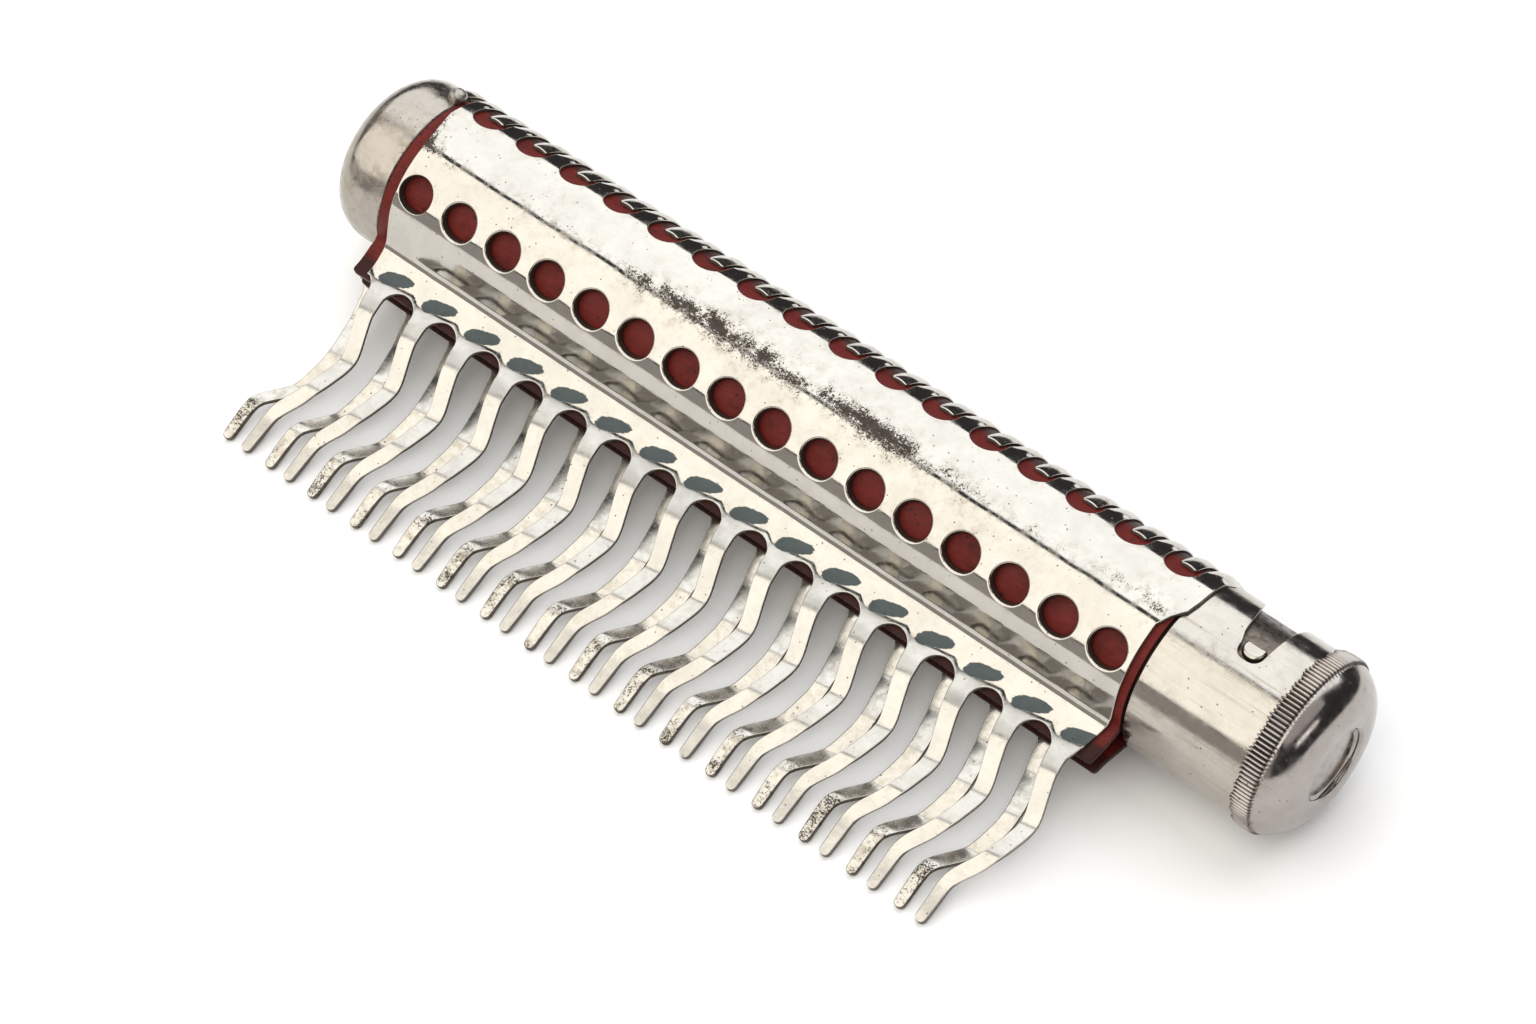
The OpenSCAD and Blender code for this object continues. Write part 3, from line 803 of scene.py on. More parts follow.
class Nodes:
    """Builds one material's nodes; every value is a number, a colour or another node's output."""

    def __init__(self, name):
        self.material = bpy.data.materials.new(name)
        self.material.use_nodes = True
        self.tree = self.material.node_tree
        self.tree.nodes.clear()
        self.place = self.add("TexCoord")["Object"]

    def add(self, kind, settings=None, **values):
        node = self.tree.nodes.new("ShaderNode" + kind)
        for key, value in (settings or {}).items():
            setattr(node, key, value)
        for key, value in values.items():
            self.put(node, key.replace("_", " "), value)
        return node.outputs

    def put(self, node, key, value):
        socket = node.inputs[int(key[1:])] if key[0] == "i" and key[1:].isdigit() else node.inputs[key]
        if isinstance(value, bpy.types.NodeSocket):
            self.tree.links.new(value, socket)
        elif socket.type == "RGBA":
            socket.default_value = (*value, 1.0)
        else:
            socket.default_value = value

    def scaled(self, sx, sy, sz, move=(0, 0, 0)):
        """Object coordinates in millimetres, stretched."""
        return self.add("Mapping", Vector=self.place, Location=move,
                        Scale=(1000 * sx, 1000 * sy, 1000 * sz))["Vector"]

    def noise(self, vector, scale, detail=4.0, roughness=0.55, distortion=0.0):
        return self.add("TexNoise", Vector=vector, Scale=scale, Detail=detail,
                        Roughness=roughness, Distortion=distortion)[0]

    def ramp(self, value, low, high, out_low=0.0, out_high=1.0):
        return self.add("MapRange", {"interpolation_type": "SMOOTHSTEP"}, Value=value, i1=low,
                        i2=high, i3=out_low, i4=out_high)[0]

    def maths(self, kind, a, b=0.0, clamp=False):
        return self.add("Math", {"operation": kind, "use_clamp": clamp}, i0=a, i1=b)[0]

    def plus(self, a, b, clamp=False):
        return self.maths("ADD", a, b, clamp)

    def minus(self, a, b):
        return self.maths("SUBTRACT", a, b)

    def times(self, a, b, clamp=False):
        return self.maths("MULTIPLY", a, b, clamp)

    def most(self, a, b, clamp=False):
        return self.maths("MAXIMUM", a, b, clamp)

    def mix(self, share, a, b):
        return self.add("Mix", {"data_type": "RGBA"}, i0=share, i6=a, i7=b)[2]

    def attribute(self, name):
        return self.add("Attribute", {"attribute_name": name})["Fac"]

    def spots(self, vector, scale, size, spread, seed_move=0.0):
        """Round spots of uneven size, 1 inside a spot."""
        moved = self.add("VectorMath", {"operation": "ADD"}, i0=vector, i1=(seed_move,) * 3)[0]
        cell = self.add("TexVoronoi", Vector=moved, Scale=scale)
        pick = self.add("SeparateColor", Color=cell["Color"])[0]
        limit = self.ramp(pick, 1 - spread, 1.0, 0.0, size)
        return self.maths("GREATER_THAN", limit, cell["Distance"])

    def show(self, shader):
        out = self.tree.nodes.new("ShaderNodeOutputMaterial")
        self.tree.links.new(shader[0], out.inputs["Surface"])
        return self.material

    def finish(self, **values):
        return self.show(self.add("BsdfPrincipled", **values))


def worn_nickel(name, base, rough=0.08, scratch=0.3, speck=1.0, stain=0.0, cloudy=0.3,
                tarnish=(0.30, 0.25, 0.185), grime_and_shade=(0.022, 0.013, 0.008)):
    """Old nickel plate: bright, scratched along the tube and speckled with corrosion where the stain
    mark says so; dark brown where the edge mark is above 1, which is painted shade with some grime on
    the sides of edges and inside holes and grime in the milled grooves; dark blue-grey above the
    teeth where the reflection mark paints a dark reflection."""
    n = Nodes(name)
    mm = n.scaled(1, 1, 1)
    cloud = n.noise(mm, 0.22, 4.0, 0.6, 0.5)
    mottle = n.noise(mm, 0.9, 6.0, 0.68, 0.3)
    grit = n.noise(mm, 4.2, 5.0, 0.75, 0.4)
    fine = n.noise(mm, 9.0, 3.0, 0.6)
    lines = n.noise(n.scaled(0.035, 1.7, 1.7), 1.7, 6.0, 0.75, 0.1)
    hairs = n.noise(n.scaled(0.9, 0.10, 0.10, (3, 7, 1)), 1.9, 5.0, 0.7)
    edge = n.attribute("edge")
    soil_and_shade = n.plus(n.attribute("soil_and_shade"), stain)
    soil_and_shade = n.times(soil_and_shade, n.ramp(cloud, 0.25, 0.62, 0.55, 1.25))

    scratches = n.times(n.ramp(lines, 0.50, 0.72), scratch)
    clouded = n.plus(n.times(soil_and_shade, 0.9), cloudy)
    dull = n.times(n.ramp(mottle, 0.42, 0.72), clouded, clamp=True)
    tone = n.mix(n.ramp(cloud, 0.3, 0.7), base, tuple(c * 0.9 for c in base))
    colour = n.mix(n.most(n.times(dull, 0.7), scratches), tone, tarnish)

    limit = n.minus(0.79, n.times(soil_and_shade, 0.20))
    seed = n.plus(n.times(grit, 0.80), n.times(mottle, 0.28))
    specks = n.ramp(n.minus(seed, limit), -0.008, 0.03, 0.0, speck)
    dust = n.spots(mm, 2.2, 0.24, 0.16 * speck, 2.1)
    specks = n.most(specks, n.times(dust, 0.7), clamp=True)
    # Painted shade with some grime: the sides of edges and the walls of holes (edge mark above 1) are
    # painted dark brown; in the milled grooves it is grime.
    hollow_grime_and_shade = n.ramp(edge, 1.0, 1.5)
    # Painted dark reflection: a streaked blue-grey patch above each tooth, where the ledge reflects the
    # dark gap between the lights.
    comb_lines = n.noise(n.scaled(0.5, 2.2, 2.2), 1.3, 4.0, 0.8, 0.3)
    ledge_reflection = n.ramp(n.plus(n.attribute("ledge_reflection"), n.times(comb_lines, 1.6)), 1.2, 1.4)
    # Painted shade with some tarnish: the same sides and walls are also darkened to a deeper tarnish
    # brown.
    rim = n.ramp(n.plus(edge, n.times(mottle, 0.7)), 0.95, 1.45, 0.0, 0.55)
    colour = n.mix(rim, colour, tuple(c * 0.5 for c in tarnish))
    # The painted dark reflection's blue-grey colour.
    colour = n.mix(n.times(ledge_reflection, 0.92), colour, (0.03, 0.045, 0.05))
    # Corrosion specks and the painted shade in hollows take the same dark colour.
    colour = n.mix(n.times(n.most(specks, hollow_grime_and_shade), 0.93), colour, grime_and_shade)

    roughness = n.plus(n.ramp(mottle, 0.25, 0.75, rough * 0.7, rough * 1.4), n.times(dull, 0.16))
    roughness = n.plus(roughness, n.times(scratches, 0.25))
    teeth = n.ramp(n.add("SeparateXYZ", Vector=mm)[1], -1.5, -0.6, 0.10, 0.0)
    roughness = n.plus(roughness, teeth)
    worn = n.most(n.most(specks, rim), ledge_reflection)
    roughness = n.plus(roughness, n.times(worn, 0.4), clamp=True)
    height = n.plus(n.times(mottle, 0.35), n.times(fine, 0.05))
    height = n.plus(height, n.times(n.plus(lines, hairs), 0.06 + 0.7 * scratch))
    height = n.minus(height, n.times(specks, 0.9))
    bump = n.add("Bump", Strength=0.3, Distance=0.00002, Height=height)[0]
    metal = n.minus(1.0, n.times(n.most(specks, hollow_grime_and_shade), 0.75))
    return n.finish(Base_Color=colour, Metallic=metal, Roughness=roughness, Normal=bump,
                    Specular_IOR_Level=0.15)


NICKEL = (0.51, 0.485, 0.44)
CAP_METAL = (0.46, 0.43, 0.385)
CUP_METAL = (0.37, 0.335, 0.295)
DOME_METAL = (0.39, 0.36, 0.335)

plate_nickel = worn_nickel("plate nickel", NICKEL, 0.07, 0.10, 1.0, 0.07, 0.08)
back_nickel = worn_nickel("back plate nickel", NICKEL, 0.10, 0.2, 1.0, 0.25, 0.3)
cup_nickel = worn_nickel("cup nickel", CUP_METAL, 0.21, 0.06, 0.8, 0.10, 0.35)
cap_nickel = worn_nickel("cap nickel", CAP_METAL, 0.12, 0.7, 0.8, 0.08, 0.2)
dome_nickel = worn_nickel("dome nickel", DOME_METAL, 0.15, 0.0, 0.9, 0.06, 0.2,
                          tarnish=(0.27, 0.215, 0.19))
stud_nickel = worn_nickel("stud nickel", CAP_METAL, 0.12, 0.2, 0.8, 0.1, 0.3)
tube_nickel = worn_nickel("tube nickel", (0.16, 0.135, 0.115), 0.3, 0.6, 1.0, 0.5, 0.6,
                          tarnish=(0.07, 0.055, 0.042))
solder_grey = worn_nickel("solder", (0.40, 0.38, 0.35), 0.32, 0.0, 1.0, 0.5, 0.6,
                          tarnish=(0.18, 0.155, 0.13))


def red_fibre_material():
    n = Nodes("red fibre")
    mm = n.scaled(1, 1, 1)
    cloud = n.noise(mm, 0.35, 5.0, 0.6)
    fibre = n.noise(n.scaled(0.5, 2.5, 2.5), 1.5, 6.0, 0.7, 0.4)
    fine = n.noise(mm, 7.0, 4.0, 0.6)
    edge = n.attribute("edge")
    colour = n.mix(n.ramp(fibre, 0.3, 0.75), (0.085, 0.0075, 0.0055), (0.14, 0.013, 0.009))
    colour = n.mix(n.ramp(cloud, 0.5, 0.75, 0.0, 0.7), colour, (0.035, 0.007, 0.005))
    dirt = n.spots(mm, 1.4, 0.3, 0.25, 4.4)
    # Painted shade: the fibre is darkened on the sides of its edges, on its hole walls and round the
    # hole floors, together with real dirt spots; on the liners the stain mark also paints shade behind
    # the tongues.
    dark = n.most(n.ramp(n.plus(edge, n.times(fine, 0.5)), 0.45, 1.15), dirt)
    stain = n.ramp(n.plus(n.attribute("soil_and_shade"), n.times(cloud, 0.5)), 0.45, 0.95)
    colour = n.mix(n.times(n.most(dark, stain), 0.85), colour, (0.016, 0.007, 0.005))
    height = n.plus(n.times(fibre, 0.6), n.times(fine, 0.3))
    bump = n.add("Bump", Strength=0.5, Distance=0.00004, Height=height)[0]
    rough = n.ramp(cloud, 0.3, 0.7, 0.40, 0.58)
    return n.finish(Base_Color=colour, Roughness=rough, Specular_IOR_Level=0.15, Normal=bump)


red_fibre = red_fibre_material()


def plain_finish(name, light, dark, metal, rough, grain=3.0, stretch=(1, 1, 1)):
    """A quieter finish for the pieces inside the tube."""
    n = Nodes(name)
    mm = n.scaled(*stretch)
    cloud = n.noise(mm, 0.4, 5.0, 0.6)
    fine = n.noise(mm, grain, 6.0, 0.65)
    colour = n.mix(n.ramp(n.plus(cloud, n.times(fine, 0.4)), 0.5, 0.95), light, dark)
    dirt = n.times(n.spots(mm, 1.2, 0.3, 0.3, 7.7), 0.6)
    colour = n.mix(dirt, colour, tuple(c * 0.4 for c in dark))
    bump = n.add("Bump", Strength=0.4, Distance=0.00003, Height=fine)[0]
    roughness = n.ramp(fine, 0.25, 0.75, rough - 0.08, rough + 0.12)
    return n.finish(Base_Color=colour, Metallic=metal, Roughness=roughness, Normal=bump)


brass = plain_finish("brass", (0.72, 0.52, 0.22), (0.35, 0.24, 0.10), 1.0, 0.3)
spring_wire = plain_finish("spring wire", (0.55, 0.55, 0.56), (0.25, 0.22, 0.20), 1.0, 0.35, 6.0)
zinc = plain_finish("zinc", (0.55, 0.57, 0.60), (0.33, 0.34, 0.36), 1.0, 0.45, 4.0)
card = plain_finish("card", (0.46, 0.33, 0.19), (0.27, 0.18, 0.10), 0.0, 0.8, 5.0, (1, 0.4, 0.4))
carbon = plain_finish("carbon", (0.03, 0.03, 0.032), (0.012, 0.012, 0.013), 0.0, 0.7, 6.0)
pitch = plain_finish("pitch", (0.028, 0.02, 0.015), (0.01, 0.008, 0.007), 0.0, 0.35, 1.5)

CAD_FINISHES = {
    "contact_tag": brass, "end_insulator": red_fibre, "centre_contact": brass,
    "cell_sleeve": card, "cap_spring": spring_wire, "spring_disc": brass,
}
for number in ("1", "2"):
    for part, finish in (("can", zinc), ("jacket", card), ("bobbin", carbon), ("rod", carbon),
                         ("seal", pitch), ("cap", brass)):
        CAD_FINISHES["cell_" + number + "_" + part] = finish
for node_name, finish in CAD_FINISHES.items():
    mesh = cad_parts[node_name].data
    mesh.materials.clear()
    mesh.materials.append(finish)

# Comb plates ---------------------------------------------------------------------------------

# Ends of the plates along the tube, at the teeth and at the spine, in pitches
PLATE_LEFT, SPINE_LEFT = 0.61, 0.50
FRONT_SPINE_RIGHT, BACK_SPINE_RIGHT = 16.79, 17.17
FRONT_LAST_WIDER = 0.07

# Stained places as plate_soil() takes them
FRONT_SPOTS = [
    (8.4, 3, 20, 2.6, 0.75), (6.2, 2, 9, 2.0, 0.5), (10.8, 4, 9, 2.4, 0.6), (8.0, 12, 14, 3.0, 0.35),
    (0.62, 8, 1.2, 2.6, 1.0), (0.55, 22, 0.9, 2.4, 0.9), (1.3, -2, 1.6, 1.2, 0.7),
    (0.9, 2, 1.5, 0.8, 0.9), (16.05, 13, 2.0, 1.7, 1.1), (16.3, 3, 1.4, 1.6, 0.9),
    (15.4, 9, 2.2, 1.0, 0.5), (14.2, 5, 4.0, 0.8, 0.5),
    (3.4, -4, 5, 2.2, 0.35), (12.8, -6, 7, 3.0, 0.35), (3.2, 20, 3, 2.2, 0.3), (16.3, -66, 3, 2, 0.4),
]
BACK_SPOTS = [(3.0, 5, 7, 5, 0.7), (11.5, -8, 9, 4, 0.6), (15.8, 20, 3, 3, 0.9), (7.0, -50, 8, 3, 0.5)]

inner_points = plate_grid()


def plate_piece(name, seed, outline, first_hole, material, spots, tips):
    """A comb plate; the back one comes from the same die."""
    made = sheet_mesh(surface_from(lambda x, v: plate_point(x, v, seed)), plate_thickness, outline,
                      soft_edge(PLATE_EDGE), plate_holes(first_hole), inner_points)
    add_sheet(name + "_plate", made, name == "back", BACK_SHIFT, material, "nickel_plate",
              (name + "_comb_plate",), plate_soil(made[4], spots, tips), ledge_reflection_patches(made[4]))


plate_piece("front", 11, plate_outline(PLATE_LEFT, SPINE_LEFT, FRONT_SPINE_RIGHT, FRONT_LAST_WIDER),
            1, plate_nickel, FRONT_SPOTS, 0.15)
plate_piece("back", 23, plate_outline(PLATE_LEFT, SPINE_LEFT, BACK_SPINE_RIGHT, last=TEETH + 1),
            2, back_nickel, BACK_SPOTS, 0.75)

# Fibre liners --------------------------------------------------------------------------------

LINER_DROP = PLATE_R - SLEEVE_R
LINER_T = 0.78
LINER_Y, LINER_Z = section(LINER_DROP, 0.12, 0.3)
LINER_EDGE = 0.12
FIBRE_FOOT = 2.24
LINER_HOLE_GAP = 0.33
LINER_HOLE_DEPTH = 0.7


def liner_point(x, v, seed):
    y, z = np.interp(v, LINE_V, LINER_Y), np.interp(v, LINE_V, LINER_Z)
    wave = 0.012 * ripple(x, v, seed, 9) - 0.012
    r = np.hypot(y, z)
    return np.stack([x, y * (1 + wave / r), z * (1 + wave / r)], -1)


def liner_outline():
    right = LINER_RIGHT
    points = np.array([
        (LINER_LEFT - 0.07 * PITCH, v_of_u(FIBRE_FOOT)), (right - 0.1 * PITCH, v_of_u(FIBRE_FOOT)),
        (right, v_of_u(1.60)), (right, v_of_angle(90)), (LINER_LEFT, v_of_angle(90)),
        (LINER_LEFT, v_of_angle(-60)), (LINER_LEFT - 0.05 * PITCH, v_of_u(1.7)),
    ])
    return fill_in(round_corners(points, 0.5), 0.5)


def liner_holes(first, shift):
    ring = circle(HOLE_R + LINER_HOLE_GAP, 36)
    steps = blind_edge(0.08, LINER_HOLE_DEPTH)
    height = v_of_angle(HOLE_ANGLE)
    return [(ring + (i * PITCH - shift, height), steps) for i in range(first, TEETH + 1)]


liner_inner = np.concatenate([
    grid(np.arange(1, 110, 1.1), np.arange(v_of_angle(90), VALLEY_V - 0.8, 1.1)),
    grid(np.arange(1, 110, 0.8), VALLEY_V + np.array([-0.5, -0.25, -0.1, 0, 0.1, 0.25, 0.5])),
    grid(np.arange(1, 110, 0.7), np.arange(VALLEY_V + 0.9, v_of_u(FIBRE_FOOT), 0.5)),
])


def liner_shade_and_foot(v):
    """Painted shade: a liner is darkened to black behind the tongues, where it lies in shade; it is
    also darker at its foot.
    """
    foot = smooth_step(v_of_u(1.75), v_of_u(2.05), v)
    return smooth_step(v_of_angle(51), v_of_angle(58), v) + 0.8 * foot


for name, seed, first, shift in (("front", 31, 1, 0), ("back", 37, 2, BACK_SHIFT)):
    made = sheet_mesh(surface_from(lambda x, v: liner_point(x, v, seed)), even(LINER_T),
                      liner_outline(), soft_edge(LINER_EDGE), liner_holes(first, shift), liner_inner)
    add_sheet(name + "_fibre", made, name == "back", 0, red_fibre, "red_fibre",
              (name + "_fibre_liner",), liner_shade_and_foot(made[4][:, 1]))

# Battery tube and stud -----------------------------------------------------------------------

tube_profile = along([(TUBE_LEFT, TUBE_IN_R), (TUBE_RIGHT, TUBE_IN_R), (TUBE_RIGHT, TUBE_R - 0.1),
                      (TUBE_RIGHT - 0.1, TUBE_R), (TUBE_LEFT, TUBE_R)], 4)
turned_piece("tube", tube_profile, 160, tube_nickel, "comb", "tube_plate", ("battery_tube",))


STUD_R, STUD_H, STUD_NECK = 1.36, 0.8, 0.35


def stud_mesh():
    """A half-round stud with its flat side to the spine, on a short neck."""
    rings, turns = 14, 72
    a = np.arange(turns) * 2 * np.pi / turns
    rows = []
    for k in range(rings + 1):
        t = k / rings
        lift = STUD_H * math.sin(t * math.pi / 2) ** 0.62
        size = math.cos(t * math.pi / 2) ** 0.42
        across = STUD_R * np.minimum(np.sin(a), 0.40) + 0.12
        rows.append(np.stack([size * STUD_R * np.cos(a), size * across + 0.1, np.full(turns, lift)], 1))
    rows.insert(0, rows[0] - (0, 0, STUD_NECK))
    faces = round_faces(len(rows), turns)
    faces.append(tuple(range(turns))[::-1])
    return on_tube(STUD_X, STUD_ANGLE, TUBE_R, np.concatenate(rows)), faces


points, faces = stud_mesh()
stud = add_mesh("stud", points, None, faces, np.zeros(len(points)), stud_nickel, "comb",
                "tube_plate", ("locking_stud",))
weld(stud)
stud.data.set_sharp_from_angle(angle=math.radians(STUD_SHARP))

# Closed end ----------------------------------------------------------------------------------

CUP_BEND = 0.64 * PITCH
CUP_WALL = 0.7
cup_in_r = TUBE_R + 0.2
cup_outer = [(CUP_MOUTH, CUP_R - 0.12), (CUP_MOUTH - 0.12, CUP_R)]
cup_outer += bend(CUP_END + CUP_BEND, CUP_R - CUP_BEND, CUP_BEND, 90, 180, 28)
cup_outer += [(CUP_END, 0.01)]
cup_inner = [(CUP_END + CUP_WALL, 0.01)]
cup_inner += bend(CUP_END + CUP_BEND, cup_in_r - CUP_BEND + CUP_WALL, CUP_BEND - CUP_WALL, 180, 90, 16)
cup_inner += [(CUP_MOUTH, cup_in_r)]
cup_profile = along(cup_outer, 0.6) + along(cup_inner, 1.5)


def cup_shape(x, r, a):
    """Shallow dents over the cup, none at its mouth or middle."""
    y, z = r * np.sin(a), r * np.cos(a)
    outer = smooth_step(CUP_R - 1.2, CUP_R, np.hypot(r, np.maximum(0, CUP_END + CUP_BEND - x)))
    depth = 0.05 * ripple(y + x, z - x, 41, 9) + 0.015 * ripple(y - x, z + x, 43, 3)
    fade = smooth_step(CUP_MOUTH, CUP_MOUTH - 1.5, x) * smooth_step(0, 3, r)
    return x, r - 0.05 * fade + np.minimum(depth, 0.05) * fade * (0.3 + 0.7 * outer)


def cup_marks(points):
    """Stains near the cup's mouth and in a few clouds over its round."""
    x, y, z = points.T
    clouds = np.maximum(ripple(y + 0.6 * x, z - 0.4 * x, 45, 6), 0)
    mouth = np.exp(-((x - CUP_MOUTH) / 1.1) ** 2)
    return 0.9 * np.exp(-((x - CUP_MOUTH) / 0.15) ** 2), 0.35 * clouds + 0.6 * mouth


turned_piece("cup", cup_profile, 192, cup_nickel, "comb", "cup_plate", ("end_cup",), cup_shape,
             cup_marks)


BEAD_X, BEAD_ANGLE = 0.262 * PITCH, 44.6


def bead_mesh():
    """A lump of solder between the cup and the first tongue of the back plate."""
    rows, turns = 28, 48
    theta = np.linspace(0, np.pi, rows)
    phi = np.arange(turns) * 2 * np.pi / turns
    t, p = np.meshgrid(theta, phi, indexing="ij")
    d = np.stack([np.sin(t) * np.cos(p), np.sin(t) * np.sin(p), np.cos(t)], -1).reshape(-1, 3)
    lump = 1.02 + 0.07 * ripple(d[:, 0] + d[:, 2], d[:, 1] - d[:, 2], 51, 1.6)
    lump += 0.02 * ripple(d[:, 0], d[:, 1], 53, 0.6)
    local = d * np.minimum(lump, 1.08)[:, None] * (1.06, 1.0, 0.98)
    return on_tube(BEAD_X, BEAD_ANGLE, PLATE_R + 0.02, local), round_faces(rows, turns)


points, faces = bead_mesh()
bead = add_mesh("bead", points, None, faces, np.zeros(len(points)), solder_grey, "comb", "solder",
                ("solder_bead",))
weld(bead)

# Bayonet cap ---------------------------------------------------------------------------------

SLOT_HALF = 1.55
SLEEVE_EDGE = 0.1
SLEEVE_T = SLEEVE_R - SLEEVE_IN_R - 0.02
SEAM_ANGLE = -150


def sleeve_point(x, v):
    """The sleeve's outer face; v is the arc length from its seam, towards the spine."""
    angle = np.radians(SEAM_ANGLE) + v / SLEEVE_R
    r = SLEEVE_R - 0.012 + 0.01 * ripple(x, v, 61, 12)
    return np.stack([x, r * np.sin(angle), r * np.cos(angle)], -1)


def sleeve_v(angle):
    return math.radians(angle - SEAM_ANGLE) * SLEEVE_R


def sleeve_outline():
    """The sleeve laid flat, with the bayonet slot cut in from its mouth."""
    far = STUD_ANGLE + CAP_TURN
    side = math.degrees(math.asin(SLOT_HALF / SLEEVE_R))
    around = 2 * math.pi * SLEEVE_R - 0.03
    v_stud, v0, v1 = sleeve_v(STUD_ANGLE), sleeve_v(far - side), sleeve_v(far + side)
    points = [(SLEEVE_LEFT, 0.0), (KNURL_LEFT, 0.0), (KNURL_LEFT, around), (SLEEVE_LEFT, around)]
    right = STUD_X + SLOT_HALF
    points += [(SLEEVE_LEFT, v1), (right - 1, v1)]
    points += [(right - 1 + math.sin(a), v1 - 1 + math.cos(a)) for a in np.radians([30, 60, 90])]
    for a in np.radians(np.arange(0, 181, 12)):
        c, s = math.cos(a), abs(math.sin(a))
        x = STUD_X + SLOT_HALF * math.copysign(abs(c) ** 0.75, c)
        points.append((x, v_stud - 1.05 * SLOT_HALF * s ** 0.8))
    slanted = ((17.63, 29), (17.56, 42), (17.46, 58), (17.34, 72), (17.24, 80))
    points += [(x * PITCH, sleeve_v(angle)) for x, angle in slanted]
    points += [(17.1 * PITCH, v0), (SLEEVE_LEFT, v0)]
    return fill_in(round_corners(np.array(points), 0.4), 0.4)


sleeve_inner = grid(np.arange(SLEEVE_LEFT, KNURL_LEFT, 0.9), np.arange(0, 2 * math.pi * SLEEVE_R, 0.7))
made = sheet_mesh(surface_from(sleeve_point, way=1), even(SLEEVE_T), sleeve_outline(),
                  soft_edge(SLEEVE_EDGE), [], sleeve_inner)


def sleeve_soil(places):
    """Stains near the sleeve's mouth, round the slot and beside the milled rim."""
    x, v = places.T
    slot = np.exp(-((x - STUD_X) / 2.2) ** 2) * (v > sleeve_v(12)) * (v < sleeve_v(100))
    ends = np.exp(-((x - SLEEVE_LEFT) / 0.8) ** 2) + np.exp(-((x - KNURL_LEFT) / 0.9) ** 2)
    return 0.35 * slot + 0.5 * ends + 0.25 * np.maximum(ripple(0.3 * x, v, 65, 5), 0)


add_mesh("sleeve", *made[:4], cap_nickel, "cap", "cap_plate", ("cap_sleeve",), sleeve_soil(made[4]))

RIM_R = PLATE_R - 0.05
DOME_BEND = 5.3
DOME_WALL = 0.6
DISH_R = 0.75 * PITCH
DISH_DEPTH = 0.8
DISH_EDGE = 0.75
RIDGES = 126
GROOVE_DEPTH = 0.34
SEAT_X = KNURL_LEFT + KNURL_W

rim_edge = ((0.02, 0.3), (0.12, 0.12), (0.3, 0.03), (0.6, 0))
dome_outer = [(KNURL_LEFT, SLEEVE_R + 0.02)]
dome_outer += [(KNURL_LEFT + ahead, RIM_R - down) for ahead, down in rim_edge]
dome_outer += [(SEAT_X - ahead, RIM_R - down) for ahead, down in rim_edge[::-1]]
dome_outer += bend(DOME_END - DOME_BEND, RIM_R - DOME_BEND, DOME_BEND, 69, 4, 34)
dome_outer += bend(DOME_END - DISH_EDGE, DISH_R + 0.1, DISH_EDGE, 0, -52, 10)
dome_outer += bend(DOME_END - DISH_DEPTH + DISH_EDGE, DISH_R - 1.0, DISH_EDGE, 128, 180, 8)
dome_outer += [(DOME_END - DISH_DEPTH, 0.01)]
inner_end = DOME_END - DISH_DEPTH - DOME_WALL
dome_inner = [(inner_end, 0.01)]
dome_inner += bend(inner_end - DOME_BEND + 1, SLEEVE_IN_R - DOME_BEND + 1, DOME_BEND - 1, 0, 90, 16)
dome_inner += [(KNURL_LEFT, SLEEVE_IN_R)]
dome_profile = along(dome_outer, 0.35) + along(dome_inner[::-1], 1.5)[::-1]


def groove_share(x, r, a):
    """How far each point of the milled rim is down in a groove, from 0 to 1."""
    wander = 0.12 * np.sin(5 * a + 1) + 0.07 * np.sin(13 * a)
    wave = 0.5 - 0.5 * np.cos(a * RIDGES + wander)
    shoulder = smooth_step(RIM_R - 0.45, RIM_R - 0.25, r)
    foot = smooth_step(SLEEVE_R + 0.04, SLEEVE_R + 0.2, r)
    on_rim = np.where(x < KNURL_LEFT + KNURL_W / 2, foot, shoulder)
    uneven = 0.85 + 0.15 * np.sin(7 * a + 2) * np.sin(3 * a)
    return (1 - wave ** 0.8) * on_rim * (x < SEAT_X - 0.01) * uneven


def dome_shape(x, r, a):
    """Milled ridges round the rim, and a little unevenness over the dome."""
    y, z = r * np.sin(a), r * np.cos(a)
    past_rim = smooth_step(SEAT_X, SEAT_X + 1, x) * smooth_step(5, 6, r)
    uneven = 0.02 * np.minimum(ripple(y + x, z - x, 71, 9), 0) * past_rim
    groove = groove_share(x, r, a)
    ridge_end = (1 - groove) * (x < KNURL_LEFT + 0.2) * smooth_step(SLEEVE_R + 0.04, SLEEVE_R + 0.2, r)
    ragged = 0.35 + 0.12 * np.sin(31 * a) + 0.1 * np.sin(11 * a + 2)
    return x - ragged * ridge_end, r - GROOVE_DEPTH * groove + uneven


def dome_marks(points):
    """Grime in the grooves and at the foot of the rim, and a dull floor in the dish."""
    x, y, z = points.T
    r = np.hypot(y, z)
    milled = (x < SEAT_X - 0.1) * (r > SLEEVE_R)
    down = np.clip((RIM_R - r) / 0.3, 0, 1) * milled
    foot = np.exp(-((x - SEAT_X) / 0.35) ** 2) * (r > RIM_R - 1.2)
    dish = (x > DOME_END - DISH_DEPTH - 0.05) & (r < DISH_R - 0.1)
    clouds = np.maximum(ripple(y, z, 75, 5), 0)
    return 1.3 * down ** 0.8 + 0.3 * milled, 0.9 * foot + 0.35 * dish + 0.15 * clouds


turned_piece("dome", dome_profile, RIDGES * 8, dome_nickel, "cap", "cap_plate", ("cap_dome",),
             dome_shape, dome_marks)

# Floor, light and camera ---------------------------------------------------------------------


def stage_mesh(name, points, faces, material):
    mesh = bpy.data.meshes.new(name)
    mesh.from_pydata(points, [], faces)
    mesh.materials.append(material)
    piece = bpy.data.objects.new(name, mesh)
    bpy.context.scene.collection.objects.link(piece)
    return piece


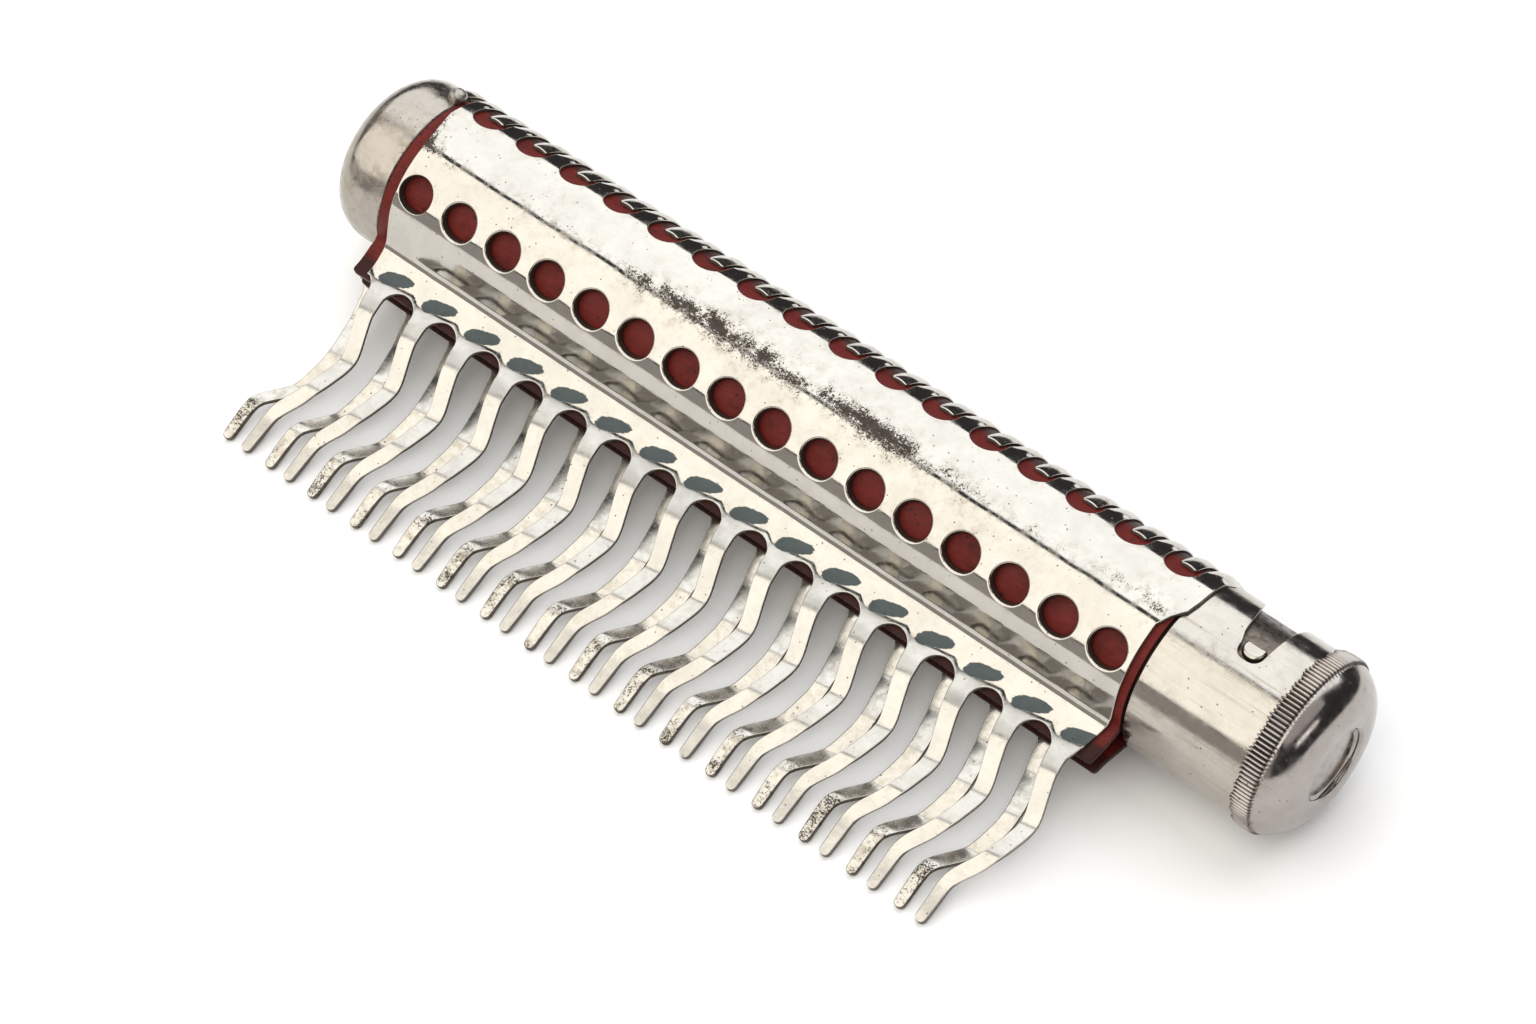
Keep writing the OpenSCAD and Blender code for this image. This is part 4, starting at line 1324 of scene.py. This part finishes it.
def ray_kinds(piece, camera, others):
    """Which rays meet a stage piece: those from the camera, and all the others."""
    piece.visible_camera = camera
    for kind in ("diffuse", "glossy", "transmission", "volume_scatter", "shadow"):
        setattr(piece, "visible_" + kind, others)


def paper_material():
    n = Nodes("floor")
    paper = n.noise(n.scaled(1, 1, 1), 0.02, 3.0)
    return n.finish(Base_Color=n.mix(paper, (0.83, 0.827, 0.83), (0.86, 0.857, 0.857)), Roughness=0.9,
                    Specular_IOR_Level=0.1)


def glow_material(name, colour):
    n = Nodes(name)
    return n.show(n.add("Emission", Color=colour, Strength=1.0))


def flat_piece(name, x0, x1, y0, y1, z, material):
    corners = [(x0, y0, z), (x1, y0, z), (x1, y1, z), (x0, y1, z)]
    return stage_mesh(name, corners, [(0, 1, 2, 3)], material)


# The sheet of paper ends behind the comb, where its spine reflects the dark room; only the camera
# sees the floor and the pale wall that carry on beyond it.
floor_paper = paper_material()
FAR = 3.0
PAPER_LEFT, PAPER_RIGHT, PAPER_NEAR, PAPER_FAR = -0.8, 0.6, -0.9, 0.07
PAPER_T = 0.0002
flat_piece("floor", PAPER_LEFT, PAPER_RIGHT, PAPER_NEAR, PAPER_FAR, 0, floor_paper)
ray_kinds(flat_piece("floor_beyond", -FAR, FAR, -FAR, FAR, -PAPER_T, floor_paper), True, False)
wall_turns, wall_levels = 48, range(8, -3, -1)
wall_points = [(0, 0, FAR)]
for level in wall_levels:
    tilt = math.radians(level * 10)
    ring = circle(FAR * math.cos(tilt), wall_turns)
    wall_points += [(x, y, FAR * math.sin(tilt)) for x, y in ring.tolist()]
wall_faces = [(0, 1 + k, 1 + (k + 1) % wall_turns) for k in range(wall_turns)]
wall_faces += round_faces(len(wall_levels), wall_turns, start=1)
wall_glow = glow_material("wall", (0.92, 0.92, 0.92))
ray_kinds(stage_mesh("wall", wall_points, wall_faces, wall_glow), True, False)


def panel(name, corner, side_a, side_b, strength, colour):
    """A flat soft light over the parallelogram from corner along side_a and side_b."""
    corner, side_a, side_b = Vector(corner), Vector(side_a), Vector(side_b)
    data = bpy.data.lights.new(name, "AREA")
    data.shape = "RECTANGLE"
    data.size, data.size_y = side_a.length, side_b.length
    data.energy = strength * math.pi * side_a.length * side_b.length
    data.color = colour
    light = bpy.data.objects.new(name, data)
    bpy.context.scene.collection.objects.link(light)
    x, y = side_a.normalized(), side_b.normalized()
    z = x.cross(y)
    centre = corner + side_a / 2 + side_b / 2
    if z.dot(-centre) > 0:
        x, z = -x, -z
    turn = [(x[i], y[i], z[i], centre[i]) for i in range(3)] + [(0, 0, 0, 1)]
    light.matrix_world = Matrix(turn)
    light.visible_camera = False
    return light


TOP = 1.1
COOL, CREAM, WARM = (0.955, 0.98, 1.0), (1.0, 0.975, 0.915), (1.0, 0.96, 0.92)
panel("spine light", (-1.5, 0.052, TOP), (2.0, 0, 0), (0, 0.87, -0.83), 2.05, COOL)
panel("teeth light", (-1.5, -0.036, TOP), (2.0, 0, 0), (0, -0.72, -0.80), 2.05, CREAM)
panel("front light", (-1.2, -0.90, 0.0), (1.9, 0, 0), (0, 0, 0.31), 0.42, WARM)
panel("end light", (0.95, -0.27, 0.34), (0, 0.52, 0), (0.0, 0, 0.13), 2.2, (1.0, 0.99, 0.97))
panel("right fill", (0.60, -0.7, 1.12), (0, 1.4, 0), (0.45, 0, -0.40), 0.65, (1.0, 0.95, 0.95))
panel("left fill", (-1.7, -0.9, 0.0), (0, 1.8, 0), (0, 0, 1.3), 0.24, WARM)
flag = stage_mesh("flag", [(-0.62, 0.005, 1.0), (-1.5, 0.30, 1.0), (-1.5, -0.45, 1.0)], [(0, 1, 2)],
                  glow_material("flag", (0.40, 0.36, 0.32)))
flag.visible_camera = False

world = bpy.data.worlds.new("room")
world.use_nodes = True
world.node_tree.nodes["Background"].inputs[0].default_value = (0.05, 0.048, 0.05, 1)
world.node_tree.nodes["Background"].inputs[1].default_value = 1.0
bpy.context.scene.world = world
bpy.context.scene.view_settings.view_transform = "Standard"

# The camera solved from the photo's rows of holes, teeth and round ends
CAMERA_AT = (0.2116026, -0.2150609, 0.4430628)
CAMERA_TURN = (34.86587, 2.87430, 40.22573)
CAMERA_LENS, CAMERA_SENSOR = 114.589, 36.0

camera_data = bpy.data.cameras.new("camera")
camera_data.sensor_width = CAMERA_SENSOR
camera_data.lens = CAMERA_LENS
camera_data.clip_start = 0.05
camera_data.clip_end = 10
camera = bpy.data.objects.new("camera", camera_data)
camera.location = CAMERA_AT
camera.rotation_euler = [math.radians(d) for d in CAMERA_TURN]
bpy.context.scene.collection.objects.link(camera)
bpy.context.scene.camera = camera
